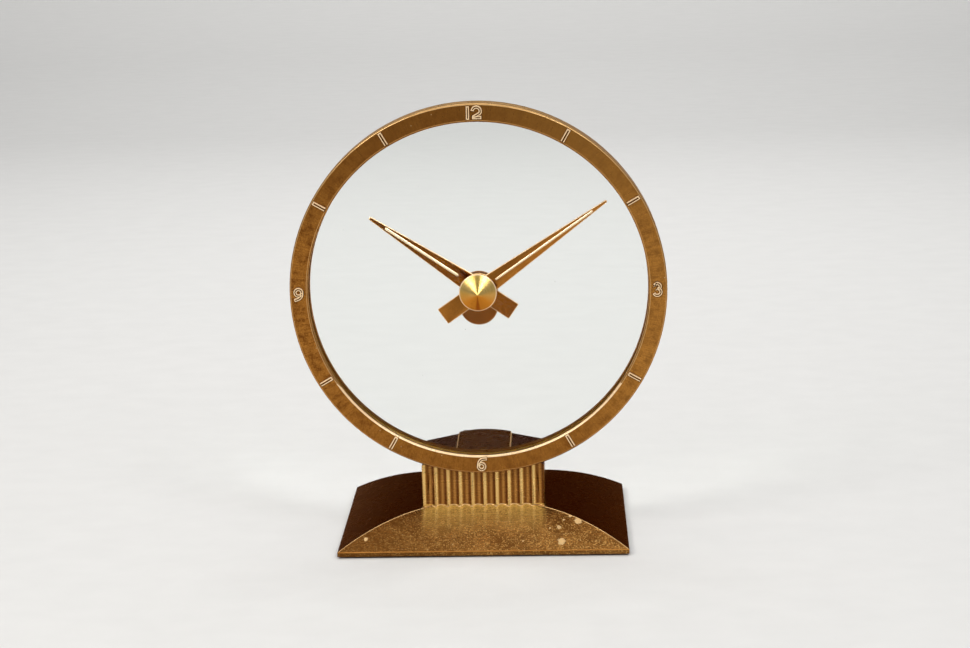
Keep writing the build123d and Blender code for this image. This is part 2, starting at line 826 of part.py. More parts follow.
with BuildPart() as saddle_pads:
    with BuildSketch(Plane.XY.offset(saddle_pad_bottom)) as pad_places:
        with GridLocations(column_half + saddle_screw_x - saddle_pad_half, 0, 2, 1):
            with Locations((0, saddle_screw_y)):
                Rectangle(column_half - saddle_screw_x + saddle_pad_half,
                          ring_rear_y - inside_front_y + casting_wall)
    extrude(amount=2 * saddle_pad_depth)
    add(neck_solid, mode=Mode.INTERSECT)

flute_pitch = 2 * column_half / flute_count
flute_r = (flute_pitch - flute_land) ** 2 / (8 * flute_depth) + flute_depth / 2
with BuildPart() as base_housing:
    add(neck_solid)
    with BuildSketch(Plane.XY.offset(foot_gap)) as flutes:
        with Locations((0, column_front_y - flute_r + flute_depth)):
            with GridLocations(flute_pitch, 0, flute_count, 1):
                Circle(flute_r)
    extrude(amount=2 * roof_crown, mode=Mode.SUBTRACT)
    add(raised_band)
    add(foot_solid)
    add(neck_hollow, mode=Mode.SUBTRACT)
    add(foot_hollow, mode=Mode.SUBTRACT)
    turn(tube(0, inlet_sleeve_r + inlet_boss_wall, inlet_face_depth - inlet_length, inlet_face_depth),
         inlet_x, inlet_height)
    with BuildSketch(facing(bulkhead_back)) as bulkhead:
        with BuildLine():
            Polyline(
                (inside_half + casting_wall / 2, bulkhead_bottom - dial_height),
                (inside_half + casting_wall / 2, roof_side - casting_wall / 2 - dial_height),
                (band_half, roof_edge - casting_wall / 2 - dial_height),
                (-band_half, roof_edge - casting_wall / 2 - dial_height),
                (-inside_half - casting_wall / 2, roof_side - casting_wall / 2 - dial_height),
                (-inside_half - casting_wall / 2, bulkhead_bottom - dial_height),
                close=True,
            )
        make_face()
    extrude(amount=bulkhead_wall)
    add(saddle_pads.part)
    add(plate_bosses.part)
    turn(tube(0, ring_outer_r, -foot_depth, ring_depth), mode=Mode.SUBTRACT)
    with BuildSketch(Plane.XY.offset(saddle_pad_bottom)) as saddle_holes:
        with Locations((0, saddle_screw_y)):
            with GridLocations(2 * saddle_screw_x, 0, 2, 1):
                Circle(saddle_screw_r + screw_gap)
    extrude(amount=2 * saddle_pad_depth, mode=Mode.SUBTRACT)
    with BuildSketch(Plane.XY.offset(plate_top)) as plate_holes:
        with GridLocations(2 * plate_screw_x, 2 * plate_screw_y, 2, 2):
            Circle(plate_screw_r)
    extrude(amount=plate_screw_length - plate_thickness, mode=Mode.SUBTRACT)
    turn(tube(0, inlet_sleeve_r, inlet_face_depth - inlet_length, inlet_face_depth),
         inlet_x, inlet_height, Mode.SUBTRACT)
    turn(tube(0, inlet_flange_r + inlet_spot_gap, inlet_face_depth, 2 * inlet_face_depth),
         inlet_x, inlet_height, Mode.SUBTRACT)
    turn(tube(0, drive_hub_r + clear_gap, ring_depth, bulkhead_back), pinion_x, pinion_z, Mode.SUBTRACT)
    turn(tube(0, set_bush_r, ring_depth, bulkhead_back), -pinion_x, pinion_z, Mode.SUBTRACT)
    turn(tube(0, set_shaft_r + running_gap, bulkhead_back, foot_depth), -pinion_x, pinion_z, Mode.SUBTRACT)
    for x, z in motor_ears:
        turn(tube(0, motor_screw_r, bulkhead_back - motor_thread, bulkhead_back), x, z, Mode.SUBTRACT)
pieces["base_housing"] = base_housing

with BuildPart() as saddle_screws:
    for x in (saddle_screw_x, -saddle_screw_x):
        with BuildSketch(Plane.XY.offset(saddle_pad_bottom)) as shank:
            with Locations((x, saddle_screw_y)):
                Circle(saddle_screw_r)
        extrude(amount=saddle_screw_top - saddle_pad_bottom)
        with BuildSketch(Plane.XY.offset(saddle_pad_bottom)) as head:
            with Locations((x, saddle_screw_y)):
                Circle(saddle_head_r)
        extrude(amount=-saddle_head)
pieces["saddle_screws"] = saddle_screws

with BuildPart() as bottom_plate:
    with BuildSketch(Plane.XY.offset(plate_bottom)) as plate:
        RectangleRounded(foot_width - 2 * (casting_wall + plate_gap),
                         foot_depth - 2 * (casting_wall + plate_gap), plate_corner_r)
    extrude(amount=plate_thickness)
    with Locations(Plane.XY.offset(plate_bottom)):
        with GridLocations(2 * plate_screw_x, 2 * plate_screw_y, 2, 2):
            Cone(plate_head_r + screw_gap, plate_screw_r + screw_gap, plate_thickness,
                 align=(Align.CENTER, Align.CENTER, Align.MIN), mode=Mode.SUBTRACT)
pieces["bottom_plate"] = bottom_plate

with BuildPart() as plate_screws:
    with Locations(Plane.XY.offset(plate_bottom)):
        with GridLocations(2 * plate_screw_x, 2 * plate_screw_y, 2, 2):
            Cone(plate_head_r, plate_screw_r, plate_thickness, align=(Align.CENTER, Align.CENTER, Align.MIN))
            Cylinder(plate_screw_r, plate_screw_length, align=(Align.CENTER, Align.CENTER, Align.MIN))
pieces["plate_screws"] = plate_screws

with BuildPart() as feet:
    with BuildSketch(Plane.XY) as pads:
        with GridLocations(2 * pad_x, 2 * pad_y, 2, 2):
            Circle(pad_r)
    extrude(amount=plate_bottom)
pieces["feet"] = feet

with BuildPart() as cord_bushing:
    turn([
        (inlet_bore_r, inlet_face_depth - inlet_length),
        (inlet_sleeve_r, inlet_face_depth - inlet_length),
        (inlet_sleeve_r, inlet_face_depth),
        (inlet_flange_r, inlet_face_depth),
        (inlet_flange_r, inlet_face_depth + inlet_flange),
        (inlet_bore_r, inlet_face_depth + inlet_flange),
    ], inlet_x, inlet_height)
pieces["cord_bushing"] = cord_bushing

# Motor in the column, behind the bulkhead
motor_holes = [(x, z - dial_height) for x, z in motor_ears]
with BuildPart() as motor_bracket:
    with BuildSketch(facing(motor_plate_back)) as bracket:
        with Locations(*motor_holes):
            Circle(motor_ear_r)
        with Locations((pinion_x, pinion_z - dial_height)):
            Circle(gear_case_top_r)
        with Locations((motor_axis_x, motor_z - dial_height - motor_can_r / 3)):
            Circle(2 * motor_can_r / 3)
        make_hull()
        with Locations(*motor_holes):
            Circle(motor_screw_r + screw_gap, mode=Mode.SUBTRACT)
        with Locations((pinion_x, pinion_z - dial_height)):
            Circle(drive_hub_r + clear_gap, mode=Mode.SUBTRACT)
    extrude(amount=motor_plate)
pieces["motor_bracket"] = motor_bracket

with BuildPart() as motor_gear_case:
    with BuildSketch(facing(gear_case_back)) as pear:
        with Locations((pinion_x, pinion_z - dial_height)):
            Circle(gear_case_top_r)
        with Locations((motor_axis_x, motor_z - dial_height)):
            Circle(motor_can_r)
        make_hull()
    extrude(amount=gear_case_depth)
    turn(tube(0, motor_shaft_r + running_gap, motor_plate_back, motor_plate_back + motor_bearing),
         pinion_x, pinion_z, Mode.SUBTRACT)
pieces["motor_gear_case"] = motor_gear_case

with BuildPart() as motor_can:
    turn([
        (0, gear_case_back),
        (motor_can_r, gear_case_back),
        (motor_can_r, gear_case_back + 2 * motor_can_bead),
        (motor_can_r - motor_can_bead, gear_case_back + 2 * motor_can_bead),
        (motor_can_r - motor_can_bead, motor_back - motor_can_bead),
        (motor_can_r - 2 * motor_can_bead, motor_back),
        (0, motor_back),
    ], motor_axis_x, motor_z)
pieces["motor_can"] = motor_can

with BuildPart() as motor_screws:
    for x, z in motor_ears:
        turn(headed(motor_screw_r, bulkhead_back - motor_thread, motor_plate_back, motor_head_r, motor_head), x, z)
pieces["motor_screws"] = motor_screws

with BuildPart() as motor_shaft:
    turn(tube(0, motor_shaft_r, drive_pinion_front - end_gap, motor_plate_back + motor_bearing - clear_gap),
         pinion_x, pinion_z)
pieces["motor_shaft"] = motor_shaft

with BuildPart() as drive_pinion:
    drive_plane = facing(drive_pinion_back) * Location((pinion_x, pinion_z - dial_height, 0))
    extrude(gear_face(drive_plane, pinion_teeth, rim_module, rim_backlash,
                      top_angle + pinion_turn + half_pinion_tooth, 3),
            amount=drive_pinion_width)
    turn(tube(0, drive_hub_r, drive_pinion_back, ring_depth - clear_gap), pinion_x, pinion_z)
    turn(tube(0, motor_shaft_r, drive_pinion_front, ring_depth - clear_gap),
         pinion_x, pinion_z, Mode.SUBTRACT)
pieces["drive_pinion"] = drive_pinion

# Set mechanism: pushed forward against its spring, the pinion meets the rim's teeth
knob_front = neck_back(pinion_z - knob_r) + band_step + set_travel + clear_gap - ring_front_y
knob_back = knob_front + knob_length
shaft_back = knob_back - knob_cap
with BuildPart() as set_pinion:
    set_plane = facing(set_pinion_back) * Location((-pinion_x, pinion_z - dial_height, 0))
    extrude(gear_face(set_plane, pinion_teeth, rim_module, rim_backlash,
                      top_angle - pinion_turn + half_pinion_tooth, 3),
            amount=set_pinion_width)
    turn(tube(0, set_shaft_r, set_pinion_front, set_pinion_back), -pinion_x, pinion_z, Mode.SUBTRACT)
pieces["set_pinion"] = set_pinion

with BuildPart() as set_shaft:
    turn([
        (0, set_pinion_front),
        (set_shaft_r, set_pinion_front),
        (set_shaft_r, collar_front),
        (collar_r, collar_front),
        (collar_r, collar_front + collar_length),
        (set_shaft_r, collar_front + collar_length),
        (set_shaft_r, shaft_back),
        (0, shaft_back),
    ], -pinion_x, pinion_z)
pieces["set_shaft"] = set_shaft

with BuildPart() as set_bushing:
    turn([
        (set_shaft_r + running_gap, ring_depth),
        (set_bush_r, ring_depth),
        (set_bush_r, bulkhead_back),
        (set_flange_r, bulkhead_back),
        (set_flange_r, spring_front),
        (set_shaft_r + running_gap, spring_front),
    ], -pinion_x, pinion_z)
pieces["set_bushing"] = set_bushing

with BuildPart() as set_spring:
    with BuildLine() as coil:
        Helix(
            pitch=(spring_length - 2 * spring_wire_r) / spring_turns,
            height=spring_length - 2 * spring_wire_r,
            radius=spring_r,
            center=(-pinion_x, ring_front_y + spring_front + spring_wire_r, pinion_z),
            direction=(0, 1, 0),
        )
    with BuildSketch(Plane(origin=coil.line @ 0, z_dir=coil.line % 0)) as wire:
        RegularPolygon(spring_wire_r, 6)
    sweep(is_frenet=True)
pieces["set_spring"] = set_spring

with BuildPart() as set_washer:
    turn(tube(set_shaft_r + running_gap, washer_r, washer_front, washer_back), -pinion_x, pinion_z)
pieces["set_washer"] = set_washer

with BuildPart() as set_knob:
    turn([
        (0, knob_front),
        (knob_r - knob_chamfer, knob_front),
        (knob_r, knob_front + knob_chamfer),
        (knob_r, knob_back - knob_chamfer),
        (knob_r - knob_chamfer, knob_back),
        (0, knob_back),
    ], -pinion_x, pinion_z)
    with BuildSketch(facing(knob_back)) as grips:
        with Locations((-pinion_x, pinion_z - dial_height)):
            with PolarLocations(knob_r + knob_grip_r / 2, knob_grips):
                Circle(knob_grip_r)
    extrude(amount=knob_length - knob_skirt, mode=Mode.SUBTRACT)
    turn(tube(0, set_shaft_r, knob_front, shaft_back), -pinion_x, pinion_z, Mode.SUBTRACT)
pieces["set_knob"] = set_knob

for name, piece in pieces.items():
    piece.part.label = name
    export_step(piece.part, f"parts/{name}.step")
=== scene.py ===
"""Looks of an electric table clock with a turning glass dial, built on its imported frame.

Sizes are in millimetres and colours are linear red, green and blue. Depths count backwards from the
front face of the dial's ring. Angles on the dial run counter-clockwise from the right, seen from the front.
"""

import logging
import math
from collections.abc import Callable
from dataclasses import dataclass, field
from enum import Enum

import bmesh
import bpy
from mathutils import Matrix, Vector
from mathutils.bvhtree import BVHTree

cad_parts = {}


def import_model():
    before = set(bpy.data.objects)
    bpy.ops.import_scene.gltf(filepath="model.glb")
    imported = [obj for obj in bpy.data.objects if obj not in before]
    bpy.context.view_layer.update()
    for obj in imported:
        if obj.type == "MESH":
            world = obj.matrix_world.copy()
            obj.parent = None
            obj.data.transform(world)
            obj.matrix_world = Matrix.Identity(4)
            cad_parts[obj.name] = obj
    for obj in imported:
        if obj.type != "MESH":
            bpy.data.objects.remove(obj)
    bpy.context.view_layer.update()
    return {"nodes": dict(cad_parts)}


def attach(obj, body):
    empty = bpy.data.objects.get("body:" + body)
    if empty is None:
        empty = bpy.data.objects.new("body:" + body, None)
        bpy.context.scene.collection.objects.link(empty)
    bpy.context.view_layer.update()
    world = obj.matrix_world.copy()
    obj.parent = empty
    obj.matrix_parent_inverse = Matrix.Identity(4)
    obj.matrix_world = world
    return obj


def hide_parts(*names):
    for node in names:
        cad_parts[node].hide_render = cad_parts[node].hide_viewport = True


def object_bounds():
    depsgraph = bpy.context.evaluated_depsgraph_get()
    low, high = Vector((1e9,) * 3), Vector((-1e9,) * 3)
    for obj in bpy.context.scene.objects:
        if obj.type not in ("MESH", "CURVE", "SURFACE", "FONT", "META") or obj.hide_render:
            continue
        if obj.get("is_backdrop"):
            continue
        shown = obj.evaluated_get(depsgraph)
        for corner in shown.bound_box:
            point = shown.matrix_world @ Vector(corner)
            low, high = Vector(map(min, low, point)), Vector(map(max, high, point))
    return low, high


LOG = logging.getLogger("clock")
MM = 0.001
RING_FRONT = -34.5
DIAL_HEIGHT = 134.1
# How far a rounded point may lie off the surface, and the angles above which edges stay sharp or are rounded.
STRAY = 0.14
CREASE = 32.0
EASED_ABOVE = 24.0
# How near to each other points are merged, in metres, and how little flat faces may turn to be one face.
MERGED_WITHIN, WELDED_WITHIN = 1e-7, 2e-6
FLAT_WITHIN = 0.3
LARGEST_CUT = 0.45
# The material numbers on a piece.
PLAIN, EDGE, THIRD, FOURTH = range(4)
FLOAT, VECTOR = "NodeSocketFloat", "NodeSocketVector"
NODE_STEP = 180
# Noise values that are stretched to the full range.
STREAK_SPAN = (0.28, 0.72)
NOISE_SPAN = (0.3, 0.7)
# How fast brush marks change: round and along the rays, from ring to ring, and along x, y and z.
RAYS = (150.0, 60.0)
TURNING_SPACING = 0.22
LEVEL_PACE = (60.0, 900.0, 900.0)
SCRATCH_SLANT = (0.4, 0.5, 0.7)
SCRATCH_PACE = (55.0, 900.0, 900.0)
SCRATCH_SPARSENESS = 0.5
# Spacing, width and share of the cells that have a speck.
PALE_SPECKS = (2.6 * MM, 0.11, 0.12)
GLINTS = (0.75 * MM, 0.42, 0.5)
DUST_SPECKS = (7.5 * MM, 0.035, 0.30)
Flat = tuple[float, float]
Colour = tuple[float, float, float]
Spot = tuple[float, float, float]
Faces = list[tuple[int, ...]]
Share = Callable[[Vector], float]
Thing = bpy.types.Object
Socket = bpy.types.NodeSocket
Sockets = bpy.types.bpy_prop_collection


def bend(start: Flat | Vector, pull: Flat | Vector, end: Flat | Vector, steps: int = 10) -> list[Flat]:
    """Points along a simple curve.

    Args:
        start: its first point.
        pull: the point that it is pulled towards.
        end: its last point.
        steps: how many steps it has.

    Returns:
        The points.
    """
    found = []
    for step in range(steps + 1):
        t = step / steps
        point = Vector(start) * (1 - t) ** 2 + Vector(pull) * (2 * t * (1 - t)) + Vector(end) * t ** 2
        found.append((point.x, point.y))
    return found


def arc(middle: Flat, radius: float, start: float, end: float, steps: int = 14) -> list[Flat]:
    """Points along an arc, with its angles in degrees."""
    angles = [math.radians(start + (end - start) * n / steps) for n in range(steps + 1)]
    return [(middle[0] + radius * math.cos(a), middle[1] + radius * math.sin(a)) for a in angles]


def loop(middle: Flat, radius: float, steps: int = 28) -> list[Flat]:
    """Points once round a circle."""
    return arc(middle, radius, 0, 360 - 360 / steps, steps - 1)


def soften(corners: list[Flat], radius: float) -> list[Flat]:
    """Rounds the corners of a closed outline.

    Args:
        corners: the outline's corners, in order.
        radius: how far each corner is cut back along its two sides.

    Returns:
        The outline with every corner rounded.
    """
    rounded: list[Flat] = []
    for at, corner in enumerate(corners):
        here = Vector(corner)
        back = Vector(corners[at - 1]) - here
        ahead = Vector(corners[(at + 1) % len(corners)]) - here
        cut = min(radius, back.length * LARGEST_CUT, ahead.length * LARGEST_CUT)
        rounded += bend(here + back.normalized() * cut, here, here + ahead.normalized() * cut, 2)
    return rounded


def band(here: int, there: int, count: int) -> Faces:
    """The faces between two closed rows of points, by the number of each row's first point."""
    return [(here + at, here + (at + 1) % count, there + (at + 1) % count, there + at) for at in range(count)]


def piece(name: str, points: list[Spot], faces: Faces, marks: list[int] | None = None) -> Thing:
    """Makes one mesh object from points in millimetres.

    Args:
        name: the object's name.
        points: the corners.
        faces: each face's corner numbers.
        marks: each face's material number, or None for the first material throughout.

    Returns:
        The object, smooth shaded, with its normals facing outwards.
    """
    mesh = bpy.data.meshes.new(name)
    mesh.from_pydata([Vector(p) * MM for p in points], [], faces)
    if marks:
        mesh.polygons.foreach_set("material_index", marks)
    work = bmesh.new()
    work.from_mesh(mesh)
    bmesh.ops.remove_doubles(work, verts=work.verts, dist=MERGED_WITHIN)
    bmesh.ops.recalc_face_normals(work, faces=work.faces)
    work.to_mesh(mesh)
    work.free()
    return shown(name, mesh)


def shown(name: str, mesh: bpy.types.Mesh) -> Thing:
    """Links a mesh as an object, smooth but for its sharp edges.

    Args:
        name: the object's name.
        mesh: its mesh.

    Returns:
        The linked object.
    """
    mesh.polygons.foreach_set("use_smooth", [True] * len(mesh.polygons))
    mesh.set_sharp_from_angle(angle=math.radians(CREASE))
    made = bpy.data.objects.new(name, mesh)
    bpy.context.scene.collection.objects.link(made)
    return made


def settle(made: Thing) -> Thing:
    """Applies an object's modifiers to its mesh.

    Args:
        made: the object.

    Returns:
        The same object, with its new mesh.
    """
    graph = bpy.context.evaluated_depsgraph_get()
    mesh = bpy.data.meshes.new_from_object(made.evaluated_get(graph), depsgraph=graph)
    made.modifiers.clear()
    made.data = mesh
    return made


def ease(made: Thing, width: float, mark: int = -1, share: Share = lambda middle: 1.0) -> Thing:
    """Rounds an object's sharp edges with narrow strips that catch the light.

    Args:
        made: the object to change.
        width: the strips' width.
        mark: the material number of the strips, or -1 to keep their neighbours' material.
        share: the share of the width that an edge gets, from its middle.

    Returns:
        The same object, with its new mesh. Points that the rounding threw off the surface are back on it.
    """
    while len(made.data.materials) <= mark:
        made.data.materials.append(None)
    work = bmesh.new()
    work.from_mesh(made.data)
    surface = BVHTree.FromBMesh(work)
    shares = []
    for edge in work.edges:
        sharp = edge.calc_face_angle(0.0) > math.radians(EASED_ABOVE)
        shares.append(share((edge.verts[0].co + edge.verts[1].co) / 2 / MM) if sharp else 0.0)
    work.free()
    made.data.attributes.new("bevel_weight_edge", "FLOAT", "EDGE").data.foreach_set("value", shares)
    bevel = made.modifiers.new("ease", "BEVEL")
    bevel.limit_method, bevel.width, bevel.segments = "WEIGHT", width * MM, 2
    bevel.use_clamp_overlap, bevel.harden_normals, bevel.material = False, True, mark
    settle(made)
    for vert in made.data.vertices:
        nearest, _, _, distance = surface.find_nearest(vert.co)
        if distance > STRAY * MM:
            vert.co = nearest
    return made


def eased_node(node: Thing, name: str, width: float, mark: int = -1, share: Share = lambda middle: 1.0
               ) -> Thing:
    """Copies a CAD solid as a new piece with eased edges.

    Args:
        node: the CAD node's object.
        name: the new piece's name.
        width: the width of the eased edges.
        mark: the material number of the eased edges, or -1.
        share: the share of the width that an edge gets, from its middle.

    Returns:
        The new piece, which doesn't ride on a body yet.
    """
    work = bmesh.new()
    work.from_mesh(node.data)
    bmesh.ops.remove_doubles(work, verts=work.verts, dist=WELDED_WITHIN)
    middle = sum((vert.co for vert in work.verts), Vector()) / len(work.verts)
    for across in ((1, 0, 0), (0, 1, 0), (0, 0, 1)):
        found = bmesh.ops.bisect_plane(work, geom=[*work.verts, *work.edges, *work.faces], dist=1e-6,
                                       plane_co=middle, plane_no=across)
        for part in found["geom_cut"]:
            if isinstance(part, bmesh.types.BMEdge):
                part.seam = True
    bmesh.ops.dissolve_limit(work, angle_limit=math.radians(FLAT_WITHIN), verts=work.verts,
                             edges=work.edges, delimit={"SEAM"})
    mesh = bpy.data.meshes.new(name)
    mesh.from_pydata([v.co.copy() for v in work.verts], [], [[v.index for v in f.verts] for f in work.faces])
    work.free()
    return ease(shown(name, mesh), width, mark, share)


def turned(name: str, outline: list[Flat], around: int, marks: list[int] | None = None) -> Thing:
    """Turns a closed outline about the dial's axis.

    Args:
        name: the object's name.
        outline: corners as (radius, depth).
        around: how many steps make the full turn.
        marks: the material number of each side of the outline, or None.

    Returns:
        The turned object, with its large faces shaded flat up to the small ones that round its edges.
    """
    points: list[Spot] = []
    for step in range(around):
        angle = 2 * math.pi * step / around
        points += [(radius * math.cos(angle), RING_FRONT + depth, DIAL_HEIGHT + radius * math.sin(angle))
                   for radius, depth in outline]
    count = len(outline)
    sides = [at for at in range(count) if max(outline[at][0], outline[(at + 1) % count][0]) > 1e-6]
    faces, face_marks = [], []
    for step in range(around):
        ring = band(step * count, (step + 1) % around * count, count)
        faces += [ring[at] for at in sides]
        face_marks += [marks[at] if marks else PLAIN for at in sides]
    made = piece(name, points, faces, face_marks)
    weighted = made.modifiers.new("weights", "WEIGHTED_NORMAL")
    weighted.mode, weighted.weight, weighted.keep_sharp = "FACE_AREA", 60, True
    return settle(made)


def plate(name: str, outline: list[Flat], front: float, back: float) -> Thing:
    """A flat plate square to the dial's axis.

    Args:
        name: the object's name.
        outline: corners as (x, height above the dial's middle).
        front: the depth of its front face.
        back: the depth of its back face.

    Returns:
        The plate.
    """
    count = len(outline)
    points = [(x, RING_FRONT + depth, DIAL_HEIGHT + z) for depth in (front, back) for x, z in outline]
    return piece(name, points, [tuple(range(count)), tuple(range(count, 2 * count)), *band(0, count, count)])


def joined(name: str, parts: list[Thing]) -> Thing:
    """Joins several objects into one piece.

    Args:
        name: the new piece's name.
        parts: the objects, which are used up.

    Returns:
        The single object.
    """
    marks: list[int] = []
    work = bmesh.new()
    for part in parts:
        work.from_mesh(part.data)
        marks += [face.material_index for face in part.data.polygons]
        bpy.data.objects.remove(part)
    mesh = bpy.data.meshes.new(name)
    work.to_mesh(mesh)
    work.free()
    mesh.polygons.foreach_set("material_index", marks)
    return shown(name, mesh)


@dataclass(frozen=True)
class Stroke:
    """The section of a raised bar or figure: a painted highlight on a land along each edge, painted shade in
    the groove between.
    """

    width: float = 1.72
    groove: float = 0.80
    groove_depth: float = 0.35
    groove_slope: float = 0.08
    rise: float = 0.6
    wall: float = 0.14
    # A low skirt round the stroke, in painted shadow.
    painted_shadow: float = 0.28
    painted_shadow_rise: float = 0.03
    sunk: float = 0.05
    end_wall: float = 0.02
    sharpest: float = 0.5
    # Each side's material: the walls and lands carry the painted highlight, the rest painted shade.
    marks: tuple[int, ...] = (0, 0, 1, 1, 0, 0, 0, 1, 1, 0, 0, 0)
    groove_sides: tuple[int, ...] = (4, 5, 6)
    caps: tuple[tuple[int, ...], ...] = ((0, 1, 10, 11), (1, 2, 9, 10), (2, 3, 4, 5, 6, 7, 8, 9))

    def section(self, top: float, grooved: bool) -> list[Spot]:
        """One cross section, from one side to the other.

        Args:
            top: the height of the lands over the ring's face.
            grooved: whether the groove is there.

        Returns:
            Points as (distance from the middle line, height over the face, reach past an end).
        """
        half, land, foot = self.width / 2, self.groove / 2, self.width / 2 + self.wall
        floor = top - self.groove_depth if grooved else top
        out, reach = foot + self.painted_shadow, self.wall + self.painted_shadow
        side = [(out, -self.sunk, reach), (out, self.painted_shadow_rise, reach), (foot, self.painted_shadow_rise, self.wall),
                (half, top, 0.0), (land, top, 0.0), (land - self.groove_slope, floor, 0.0)]
        return side + [(-across, up, past) for across, up, past in reversed(side)]

    def shut(self, spots: list[Vector], grooved: list[bool]) -> tuple[list[Vector], list[bool]]:
        """Closes the groove at a path's start with a land across it.

        Args:
            spots: the path's points.
            grooved: whether the groove is there, at each point.

        Returns:
            Both lists, with the points of the land.
        """
        land = (self.width - self.groove) / 2
        ahead = (spots[1] - spots[0]).normalized()
        return ([spots[0], spots[0] + ahead * land, spots[0] + ahead * (land + self.end_wall)] + spots[1:],
                [False, False, True] + grooved[1:])

    def lay(self, path: list[Flat], closed: bool = False, ends: tuple[bool, bool] = (True, False),
            lift: float = 0.0) -> Thing:
        """Lays the stroke along a path on the ring's front face.

        Args:
            path: points as (x, height above the dial's middle).
            closed: whether the path joins up with its own start.
            ends: whether a land closes the groove at the start, and at the end.
            lift: how much higher the top lies than usual, to keep crossing strokes apart.

        Returns:
            The stroke, with its lands and walls in the second material, which carries the painted highlight.
        """
        spots, grooved = [Vector(spot) for spot in path], [True] * len(path)
        if not closed and ends[0]:
            spots, grooved = self.shut(spots, grooved)
        if not closed and ends[1]:
            spots, grooved = (found[::-1] for found in self.shut(spots[::-1], grooved[::-1]))
        points: list[Spot] = []
        count, sides = len(spots), len(self.marks)
        for at, here in enumerate(spots):
            first, last = at == 0 and not closed, at == count - 1 and not closed
            into = (spots[1] - here if first else here - spots[at - 1]).normalized()
            out = into if last else (spots[(at + 1) % count] - here).normalized()
            along = (into + out).normalized()
            across = Vector((-along.y, along.x)) / max(self.sharpest, along.dot(into))
            outwards = -1 if first else 1 if last else 0
            for side, up, reach in self.section(self.rise + lift, grooved[at]):
                spot = here + across * side + along * reach * outwards
                points.append((spot.x, RING_FRONT - up, DIAL_HEIGHT + spot.y))
        faces: Faces = []
        marks: list[int] = []
        for at in range(count if closed else count - 1):
            following = (at + 1) % count
            flush = not grooved[at] and not grooved[following]
            faces += band(at * sides, following * sides, sides)
            marks += [EDGE if flush and side in self.groove_sides else mark
                      for side, mark in enumerate(self.marks)]
        if not closed:
            for first, bright in ((0, ends[0]), ((count - 1) * sides, ends[1])):
                faces += [tuple(first + corner for corner in cap) for cap in self.caps]
                marks += [PLAIN, PLAIN, EDGE if bright else PLAIN]
        return piece("stroke", points, faces, marks)


class Nodes:
    """A short way to place and join the nodes of one tree."""

    def __init__(self, tree: bpy.types.NodeTree) -> None:
        """Keeps the tree."""
        self.tree = tree

    def fill(self, node: bpy.types.Node, values: dict[str | int, object]) -> None:
        """Sets some inputs of a node.

        Args:
            node: the node.
            values: what its inputs hold, or the outputs that they are joined to.
        """
        for name, value in values.items():
            socket = node.inputs[name]
            if isinstance(value, Socket):
                self.tree.links.new(value, socket)
            else:
                socket.default_value = (*value, 1.0) if socket.type == "RGBA" else value

    def add(self, kind: str, values: dict[str | int, object] | None = None, **settings: object
            ) -> bpy.types.Node:
        """Places a node.

        Args:
            kind: the node's type name.
            values: what its inputs hold, or the outputs that they are joined to.
            settings: the node's own settings.

        Returns:
            The node.
        """
        node = self.tree.nodes.new(kind)
        node.location = (NODE_STEP * len(self.tree.nodes), 0)
        for setting, value in settings.items():
            setattr(node, setting, value)
        self.fill(node, values or {})
        return node

    def math(self, operation: str, first: object, second: object = 0.0) -> Socket:
        """One step of arithmetic."""
        return self.add("ShaderNodeMath", {0: first, 1: second}, operation=operation).outputs[0]

    def times(self, first: object, second: object) -> Socket:
        """The product of two values."""
        return self.math("MULTIPLY", first, second)

    def vector(self, operation: str, first: object, second: object = (0, 0, 0), output: int = 0) -> Socket:
        """One step of arithmetic with vectors; output 1 is a plain value."""
        node = self.add("ShaderNodeVectorMath", {0: first, 1: second}, operation=operation)
        return node.outputs[output]

    def span(self, value: object, low: float, high: float, to_low: float = 0.0, to_high: float = 1.0
             ) -> Socket:
        """Stretches a value from one span to another, clamped."""
        return self.add("ShaderNodeMapRange", {0: value, 1: low, 2: high, 3: to_low, 4: to_high}).outputs[0]

    def blend(self, share: object, first: object, second: object) -> Socket:
        """Mixes two colours by a share."""
        return self.add("ShaderNodeMix", {0: share, 6: first, 7: second}, data_type="RGBA").outputs[2]

    def here(self) -> Socket:
        """The place of the shaded point, in metres."""
        return self.add("ShaderNodeTexCoord").outputs["Object"]

    def noise(self, where: Socket, scale: object = 1.0, detail: float = 2.0, roughness: float = 0.5
              ) -> Socket:
        """A noise over a place."""
        return self.add("ShaderNodeTexNoise", {"Vector": where, "Scale": scale, "Detail": detail,
                                               "Roughness": roughness}).outputs[0]

    def bump(self, height: Socket, strength: float, relief: float) -> Socket:
        """The normal of a surface with a relief of so many millimetres."""
        values = {"Height": height, "Strength": strength, "Distance": relief * MM}
        return self.add("ShaderNodeBump", values).outputs[0]

    def effect(self, tree: bpy.types.NodeTree, *values: object) -> Sockets:
        """Places a node group with its values, and returns its outputs."""
        return self.add("ShaderNodeGroup", dict(enumerate(values)), node_tree=tree).outputs

    def close(self, *values: Socket) -> bpy.types.NodeTree:
        """Joins the group's outputs, and returns its tree."""
        self.add("NodeGroupOutput", dict(enumerate(values)))
        return self.tree


